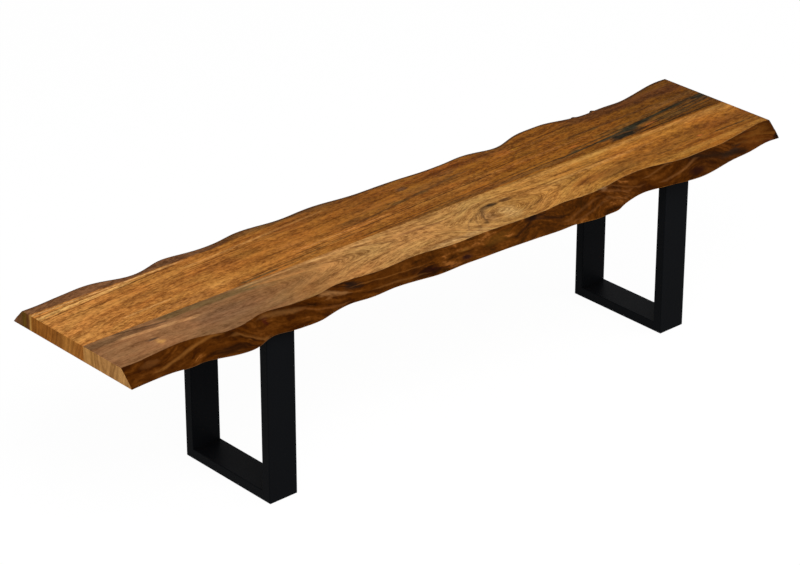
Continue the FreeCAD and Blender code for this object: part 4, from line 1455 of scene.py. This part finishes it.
def rear_edge_spots() -> Tuple[Spot, ...]:
    """List the spots on the rear live edge, which lie under its streaks."""
    return (
        Spot((1.648, 1.00), (0.013, 0.35), paint(24, 17, 13), 0.95, 0.4),
        Spot((1.711, 1.00), (0.014, 0.35), paint(24, 17, 13), 0.95, 0.4),
        Spot((0.42, 0.45), (0.050, 0.40), paint(34, 16, 8), 0.85, 0.9),
        Spot((1.12, 0.55), (0.060, 0.30), paint(36, 18, 8), 0.80, 0.9),
        Spot((1.86, 0.40), (0.070, 0.36), paint(40, 22, 12), 0.80, 0.9),
    )


def rear_wood(groups: Tuple[NodeTree, NodeTree]) -> BoardWood:
    """Describe the rear board's wood: reddish brown, darker to the right, with a black heart streak."""
    return BoardWood(
        name="rear_board_wood",
        tones=(
            (0.00, paint(180, 118, 54)), (0.14, paint(168, 107, 45)), (0.30, paint(152, 93, 34)),
            (0.47, paint(138, 83, 26)), (0.65, paint(133, 79, 22)), (0.80, paint(124, 73, 19)),
            (0.91, paint(109, 64, 14)), (1.00, paint(102, 59, 13)),
        ),
        end_tones=(
            (0.00, paint(162, 98, 38)), (0.44, paint(164, 100, 40)), (0.56, paint(180, 118, 52)),
            (0.62, paint(150, 92, 36)), (0.70, paint(164, 100, 38)), (0.815, paint(154, 94, 34)),
            (0.825, paint(198, 146, 72)), (0.84, paint(112, 68, 34)), (0.87, paint(106, 76, 22)),
            (0.90, paint(112, 74, 40)), (1.00, paint(138, 88, 66)),
        ),
        drift=0.062,
        tilt=0.25,
        swells=(Swell((0.98, 0.10), (0.26, 0.05), 0.012), Swell((0.30, 0.02), (0.18, 0.04), -0.010)),
        heart=None,
        streaks=rear_streaks(),
        spots=rear_spots(),
        rim=paint(58, 37, 17),
        rim_span=(-0.2, 2.2),
        rim_width=0.0095,
        rim_strength=0.90,
        speckle=0.4,
        calm=0.0,
        lively=0.28,
        edge_tones=(
            (0.00, paint(28, 12, 4)), (0.30, paint(52, 24, 8)), (0.50, paint(72, 38, 13)),
            (0.72, paint(92, 54, 20)), (1.00, paint(134, 88, 44)),
        ),
        edge_sways=(
            Sway(0.15, 0.34, 0.030), Sway(0.50, 0.66, -0.030), Sway(0.98, 1.14, 0.026),
            Sway(1.46, 1.70, -0.034),
        ),
        edge_streaks=rear_edge_streaks(),
        edge_spots=rear_edge_spots(),
        seed=3.1,
        groups=groups,
    )


def front_streaks() -> Tuple[Streak, ...]:
    """List the streaks on the front board's top, in the order in which they are laid."""
    return (
        # Grey-brown left end: the wood's tone with a painted sheen reflection over it
        Streak((-0.10, -0.040), (0.16, -0.054), 0.0150, paint(108, 76, 46), 0.75, 0.05),
        Streak((0.09, -0.033), (0.20, -0.054), 0.0040, paint(84, 58, 36), 0.80, 0.03),
        Streak((0.09, -0.058), (0.26, -0.078), 0.0085, paint(176, 128, 78), 0.70, 0.04),
        Streak((0.22, -0.038), (0.44, -0.046), 0.0150, paint(104, 80, 44), 0.75, 0.05),
        # Lines of the arrow heads to the left of the knot
        Streak((0.44, -0.033), (0.66, -0.037), 0.0045, paint(188, 138, 80), 0.65, 0.05),
        Streak((0.46, -0.046), (0.56, -0.062), 0.0060, paint(166, 108, 54), 0.55, 0.05),
        Streak((0.64, -0.036), (0.78, -0.040), 0.0065, paint(190, 140, 80), 0.60, 0.05),
        Streak((0.58, -0.040), (0.69, -0.076), 0.0028, paint(130, 88, 46), 0.70, 0.04),
        Streak((0.76, -0.048), (0.832, -0.078), 0.0032, paint(132, 88, 46), 0.80, 0.03),
        Streak((0.62, -0.120), (0.825, -0.084), 0.0024, paint(132, 90, 46), 0.75, 0.05),
        Streak((0.66, -0.134), (0.90, -0.098), 0.0022, paint(136, 94, 48), 0.65, 0.05),
        Streak((0.84, -0.094), (1.02, -0.070), 0.0020, paint(134, 92, 48), 0.60, 0.05),
        Streak((0.880, -0.066), (0.970, -0.074), 0.0065, paint(128, 84, 44), 0.70, 0.04),
        # Curls round the knot
        Streak((1.066, -0.150), (1.116, -0.088), 0.0130, paint(112, 78, 42), 0.85, 0.020, 0.0, 0.016),
        Streak((1.036, -0.160), (1.082, -0.100), 0.0060, paint(132, 92, 50), 0.65, 0.014, 0.1, 0.012),
        Streak((1.006, -0.152), (1.052, -0.112), 0.0050, paint(134, 94, 52), 0.60, 0.014, 0.1, 0.006),
        Streak((1.004, -0.150), (1.040, -0.182), 0.0050, paint(136, 96, 54), 0.55, 0.014, 0.1, -0.004),
        # Lines beside and to the right of the knot
        Streak((1.060, -0.064), (1.150, -0.056), 0.0024, paint(138, 96, 50), 0.75, 0.03),
        Streak((1.16, -0.060), (1.46, -0.066), 0.0022, paint(130, 86, 38), 0.80, 0.06),
        Streak((1.19, -0.086), (1.56, -0.074), 0.0024, paint(126, 82, 34), 0.85, 0.06),
        Streak((1.22, -0.150), (1.40, -0.108), 0.0024, paint(132, 88, 38), 0.75, 0.05),
        Streak((1.18, -0.160), (1.30, -0.122), 0.0020, paint(136, 92, 42), 0.70, 0.04),
        Streak((1.26, -0.038), (2.05, -0.034), 0.0110, paint(184, 128, 60), 0.55, 0.15),
        Streak((1.36, -0.090), (1.62, -0.080), 0.0100, paint(186, 134, 70), 0.42, 0.12, 0.1),
        # Broad bands and lines of the right part
        Streak((1.40, -0.136), (1.70, -0.122), 0.0260, paint(122, 72, 24), 0.70, 0.08, 0.2),
        Streak((1.74, -0.104), (2.06, -0.100), 0.0200, paint(128, 74, 24), 0.60, 0.10),
        Streak((1.58, -0.062), (2.06, -0.058), 0.0280, paint(176, 110, 40), 0.60, 0.12, 0.2),
        Streak((1.84, -0.048), (2.04, -0.046), 0.0120, paint(190, 128, 56), 0.65, 0.05),
        Streak((1.66, -0.142), (2.04, -0.136), 0.0034, paint(112, 68, 26), 0.65, 0.08),
        Streak((1.855, -0.136), (1.945, -0.138), 0.0034, paint(66, 46, 20), 0.74, 0.02),
        Streak((1.60, -0.176), (2.02, -0.164), 0.0130, paint(168, 116, 48), 0.50, 0.08),
        # Painted shade along the edge at the right end
        Streak((1.999, -0.10), (2.06, -0.10), 0.3000, paint(84, 52, 22), 0.40, 0.005, 0.8),
    )


def front_spots() -> Tuple[Spot, ...]:
    """List the spots on the front board's top, which lie under its streaks."""
    return (
        # Knot in the middle and the small one at the left
        Spot((1.146, -0.138), (0.042, 0.046), paint(192, 146, 84), 0.75, 0.6),
        Spot((1.132, -0.084), (0.034, 0.0105), paint(54, 38, 22), 0.97, 0.7),
        Spot((1.183, -0.085), (0.026, 0.0105), paint(70, 42, 22), 0.95, 0.7),
        Spot((1.092, -0.128), (0.028, 0.038), paint(146, 106, 60), 0.70, 0.8),
        Spot((0.138, -0.122), (0.016, 0.022), paint(186, 134, 66), 0.65, 1.2),
        Spot((0.132, -0.103), (0.022, 0.0055), paint(80, 60, 44), 0.85, 0.8),
        # Broad shades
        Spot((0.330, -0.110), (0.140, 0.045), paint(122, 86, 56), 0.55, 0.3),
        Spot((0.500, -0.100), (0.110, 0.030), paint(124, 82, 46), 0.45, 0.3),
        Spot((1.900, -0.100), (0.140, 0.028), paint(110, 64, 22), 0.50, 0.3),
        Spot((1.500, -0.142), (0.120, 0.024), paint(118, 72, 28), 0.50, 0.3),
        Spot((1.300, -0.100), (0.100, 0.022), paint(190, 138, 70), 0.45, 0.3),
        # Clouds of figure
        Spot((0.870, -0.132), (0.040, 0.028), paint(190, 142, 76), 0.60, 1.0),
        Spot((0.960, -0.170), (0.120, 0.016), paint(192, 148, 92), 0.50, 1.0),
        Spot((1.240, -0.150), (0.050, 0.022), paint(184, 130, 64), 0.60, 1.0),
        Spot((1.440, -0.140), (0.090, 0.022), paint(138, 88, 36), 0.60, 1.0),
        Spot((1.800, -0.128), (0.014, 0.006), paint(176, 92, 38), 0.75, 0.7),
        Spot((1.700, -0.060), (0.050, 0.012), paint(190, 126, 56), 0.50, 1.0),
        # Small burr at the lip
        Spot((1.401, -0.194), (0.020, 0.0085), paint(122, 90, 62), 0.80, 0.5),
        Spot((1.388, -0.190), (0.011, 0.0040), paint(88, 60, 38), 0.75, 0.4),
        Spot((1.402, -0.194), (0.008, 0.0036), paint(168, 128, 92), 0.75, 0.4),
    )


def front_edge_streaks() -> Tuple[Streak, ...]:
    """List the streaks on the front live edge."""
    return (
        # Light flames of the left part
        Streak((0.10, 0.34), (0.235, 0.96), 0.11, paint(122, 76, 30), 0.68, 0.044, 0.0),
        Streak((0.290, 0.78), (0.352, 0.10), 0.13, paint(112, 70, 30), 0.62, 0.036, 0.0),
        Streak((0.385, 0.88), (0.450, 0.74), 0.16, paint(112, 72, 34), 0.64, 0.044, 0.0),
        Streak((0.480, 0.70), (0.580, 0.10), 0.08, paint(106, 62, 26), 0.59, 0.044, 0.0),
        Streak((0.546, 0.94), (0.600, 0.58), 0.15, paint(142, 98, 56), 0.70, 0.026, 0.0),
        Streak((0.560, 0.70), (0.612, 0.50), 0.08, paint(118, 76, 38), 0.60, 0.030, 0.0),
        Streak((0.660, 0.72), (0.800, 0.55), 0.05, paint(112, 68, 26), 0.55, 0.066, 0.0),
        Streak((0.700, 0.30), (0.790, 0.20), 0.08, paint(112, 70, 30), 0.51, 0.066, 0.0),
        # Dark and light flames of the middle
        Streak((0.850, 0.30), (0.900, 0.18), 0.07, paint(34, 10, 8), 0.72, 0.044, 0.0),
        Streak((1.100, 0.40), (1.160, 0.86), 0.12, paint(26, 12, 6), 0.72, 0.030, 0.0),
        Streak((1.165, 0.92), (1.240, 0.50), 0.12, paint(28, 13, 7), 0.72, 0.030, 0.0),
        Streak((1.260, 0.30), (1.350, 0.74), 0.09, paint(100, 60, 26), 0.52, 0.044, 0.0),
        Streak((1.290, 0.20), (1.375, 0.54), 0.07, paint(102, 62, 28), 0.50, 0.044, 0.0),
        Streak((1.400, 0.92), (1.470, 0.42), 0.09, paint(106, 64, 30), 0.54, 0.036, 0.0),
        Streak((1.425, 0.96), (1.510, 0.34), 0.07, paint(102, 62, 28), 0.50, 0.036, 0.0),
        Streak((1.400, 0.62), (1.450, 0.22), 0.09, paint(104, 64, 30), 0.52, 0.036, 0.0),
        # Flames of the right part
        Streak((1.550, 0.66), (1.610, 0.94), 0.06, paint(106, 66, 30), 0.59, 0.033, 0.0),
        Streak((1.590, 0.26), (1.695, 0.84), 0.09, paint(104, 64, 30), 0.68, 0.033, 0.0),
        Streak((1.695, 0.98), (1.860, 0.18), 0.24, paint(30, 17, 8), 0.77, 0.033, 0.0),
        Streak((1.850, 0.68), (1.990, 0.06), 0.11, paint(104, 62, 20), 0.44, 0.036, 0.0),
        Streak((1.880, 0.86), (2.010, 0.30), 0.09, paint(104, 64, 20), 0.46, 0.033, 0.0),
        Streak((1.890, 0.98), (1.940, 0.84), 0.05, paint(36, 16, 5), 0.60, 0.030, 0.0),
        # Painted shade at the right end, darkest at the lip and at the foot
        Streak((2.001, 0.50), (2.030, 0.50), 1.20, paint(26, 9, 5), 0.64, 0.005, 0.8),
        Streak((2.002, 0.98), (2.030, 0.98), 0.24, paint(8, 6, 4), 0.95, 0.012, 0.4),
        Streak((2.000, 0.03), (2.030, 0.03), 0.42, paint(5, 4, 3), 0.98, 0.028, 0.5),
    )


def front_edge_spots() -> Tuple[Spot, ...]:
    """List the spots on the front live edge, which lie under its streaks."""
    return (
        # Broad shades
        Spot((1.080, 0.50), (0.460, 1.60), paint(104, 60, 18), 0.18, 0.4),
        Spot((1.720, 0.50), (0.140, 1.40), paint(30, 12, 3), 0.34, 0.6),
        Spot((0.090, 0.45), (0.130, 1.20), paint(50, 20, 4), 0.24, 0.6),
        # Dark hollows and light patches
        Spot((0.070, 0.72), (0.034, 0.18), paint(96, 56, 22), 0.65, 1.0),
        Spot((0.265, 0.26), (0.065, 0.28), paint(34, 15, 4), 0.85, 0.9),
        Spot((0.378, 0.72), (0.012, 0.30), paint(54, 16, 8), 0.80, 0.7),
        Spot((0.630, 0.76), (0.040, 0.26), paint(32, 19, 12), 0.92, 0.9),
        Spot((0.825, 0.30), (0.042, 0.26), paint(28, 9, 5), 0.88, 0.8),
        Spot((0.945, 0.30), (0.022, 0.20), paint(40, 18, 16), 0.85, 0.8),
        Spot((0.950, 0.66), (0.030, 0.12), paint(116, 76, 30), 0.70, 1.0),
        Spot((1.050, 0.60), (0.070, 0.30), paint(94, 58, 16), 0.55, 1.0),
        Spot((1.170, 0.90), (0.040, 0.12), paint(28, 13, 8), 0.90, 0.8),
        Spot((1.401, 0.98), (0.015, 0.13), paint(118, 84, 54), 0.75, 0.5),
        Spot((1.690, 0.36), (0.050, 0.26), paint(36, 13, 6), 0.85, 0.9),
        Spot((1.815, 0.42), (0.050, 0.24), paint(46, 32, 22), 0.80, 0.9),
        Spot((1.940, 0.74), (0.055, 0.26), paint(100, 60, 16), 0.60, 1.0),
        Spot((1.915, 0.50), (0.075, 1.20), paint(112, 60, 16), 0.28, 0.5),
        Spot((1.972, 0.12), (0.034, 0.14), paint(58, 16, 6), 0.80, 0.8),
    )


def front_wood(groups: Tuple[NodeTree, NodeTree]) -> BoardWood:
    """Describe the front board's wood: golden, greyer at the left end under painted sheen, with arrow heads
    and a knot.
    """
    return BoardWood(
        name="front_board_wood",
        # The first stops are greyer: the wood's own tone with a painted sheen reflection at the left end
        tones=(
            (0.00, paint(134, 91, 54)), (0.07, paint(140, 97, 58)), (0.15, paint(126, 88, 53)),
            (0.21, paint(130, 90, 52)), (0.27, paint(144, 97, 50)), (0.34, paint(164, 115, 60)),
            (0.43, paint(169, 119, 62)), (0.53, paint(168, 120, 61)), (0.64, paint(170, 116, 51)),
            (0.73, paint(158, 104, 40)), (0.83, paint(152, 95, 32)), (0.92, paint(141, 85, 26)),
            (1.00, paint(135, 81, 25)),
        ),
        end_tones=(
            (0.00, paint(168, 120, 66)), (0.16, paint(194, 142, 82)), (0.24, paint(180, 128, 72)),
            (0.30, paint(188, 134, 76)), (0.38, paint(186, 132, 70)), (0.42, paint(190, 136, 74)),
            (0.47, paint(170, 108, 46)),
        ),
        drift=0.018,
        tilt=-0.18,
        swells=(
            Swell((1.140, -0.130), (0.095, 0.075), -0.060), Swell((0.40, -0.110), (0.17, 0.050), -0.016),
        ),
        heart=Heart(
            middle=-0.078,
            sways=(Sway(0.90, 1.08, -0.050), Sway(1.22, 1.52, 0.034)),
            pulls=(Sway(0.42, 0.93, 0.080), Sway(0.94, 1.12, -0.056), Sway(1.17, 1.55, 0.045)),
        ),
        streaks=front_streaks(),
        spots=front_spots(),
        # Light line along the front lip: a painted highlight on the eased arris
        rim=paint(204, 164, 108),
        rim_span=(0.50, 1.90),
        rim_width=0.0050,
        rim_strength=0.36,
        speckle=0.0,
        calm=0.42,
        lively=-0.08,
        edge_tones=(
            (0.00, paint(28, 10, 1)), (0.30, paint(52, 22, 2)), (0.50, paint(67, 32, 3)),
            (0.72, paint(82, 43, 8)), (1.00, paint(118, 70, 28)),
        ),
        edge_sways=(
            Sway(0.10, 0.25, 0.030), Sway(0.27, 0.37, -0.034), Sway(0.46, 0.63, -0.044),
            Sway(0.70, 0.90, 0.008), Sway(1.08, 1.17, 0.020), Sway(1.17, 1.26, -0.020),
            Sway(1.26, 1.385, 0.030), Sway(1.39, 1.51, -0.038), Sway(1.57, 1.70, 0.034),
            Sway(1.70, 1.87, -0.042), Sway(1.87, 2.02, -0.034),
        ),
        edge_streaks=front_edge_streaks(),
        edge_spots=front_edge_spots(),
        seed=7.7,
        groups=groups,
    )


def main() -> None:
    """Build the boards, dress the legs, set up the studio and report each piece."""
    logging.basicConfig(level=logging.INFO, format="%(name)s: %(message)s")
    scene = bpy.context.scene
    scene.view_settings.view_transform = "Standard"
    pieces: List[Object] = []
    groups = (spot_group(), streak_group())
    for side, wood in ((Side.FRONT, front_wood(groups)), (Side.REAR, rear_wood(groups))):
        pieces.append(Board(side).build(wood.finish()))
    pieces += Legs().dress()
    Studio().build()
    for piece in pieces:
        log.info("%s has %d faces", piece.name, len(piece.data.polygons))


if __name__ == "__main__":
    main()
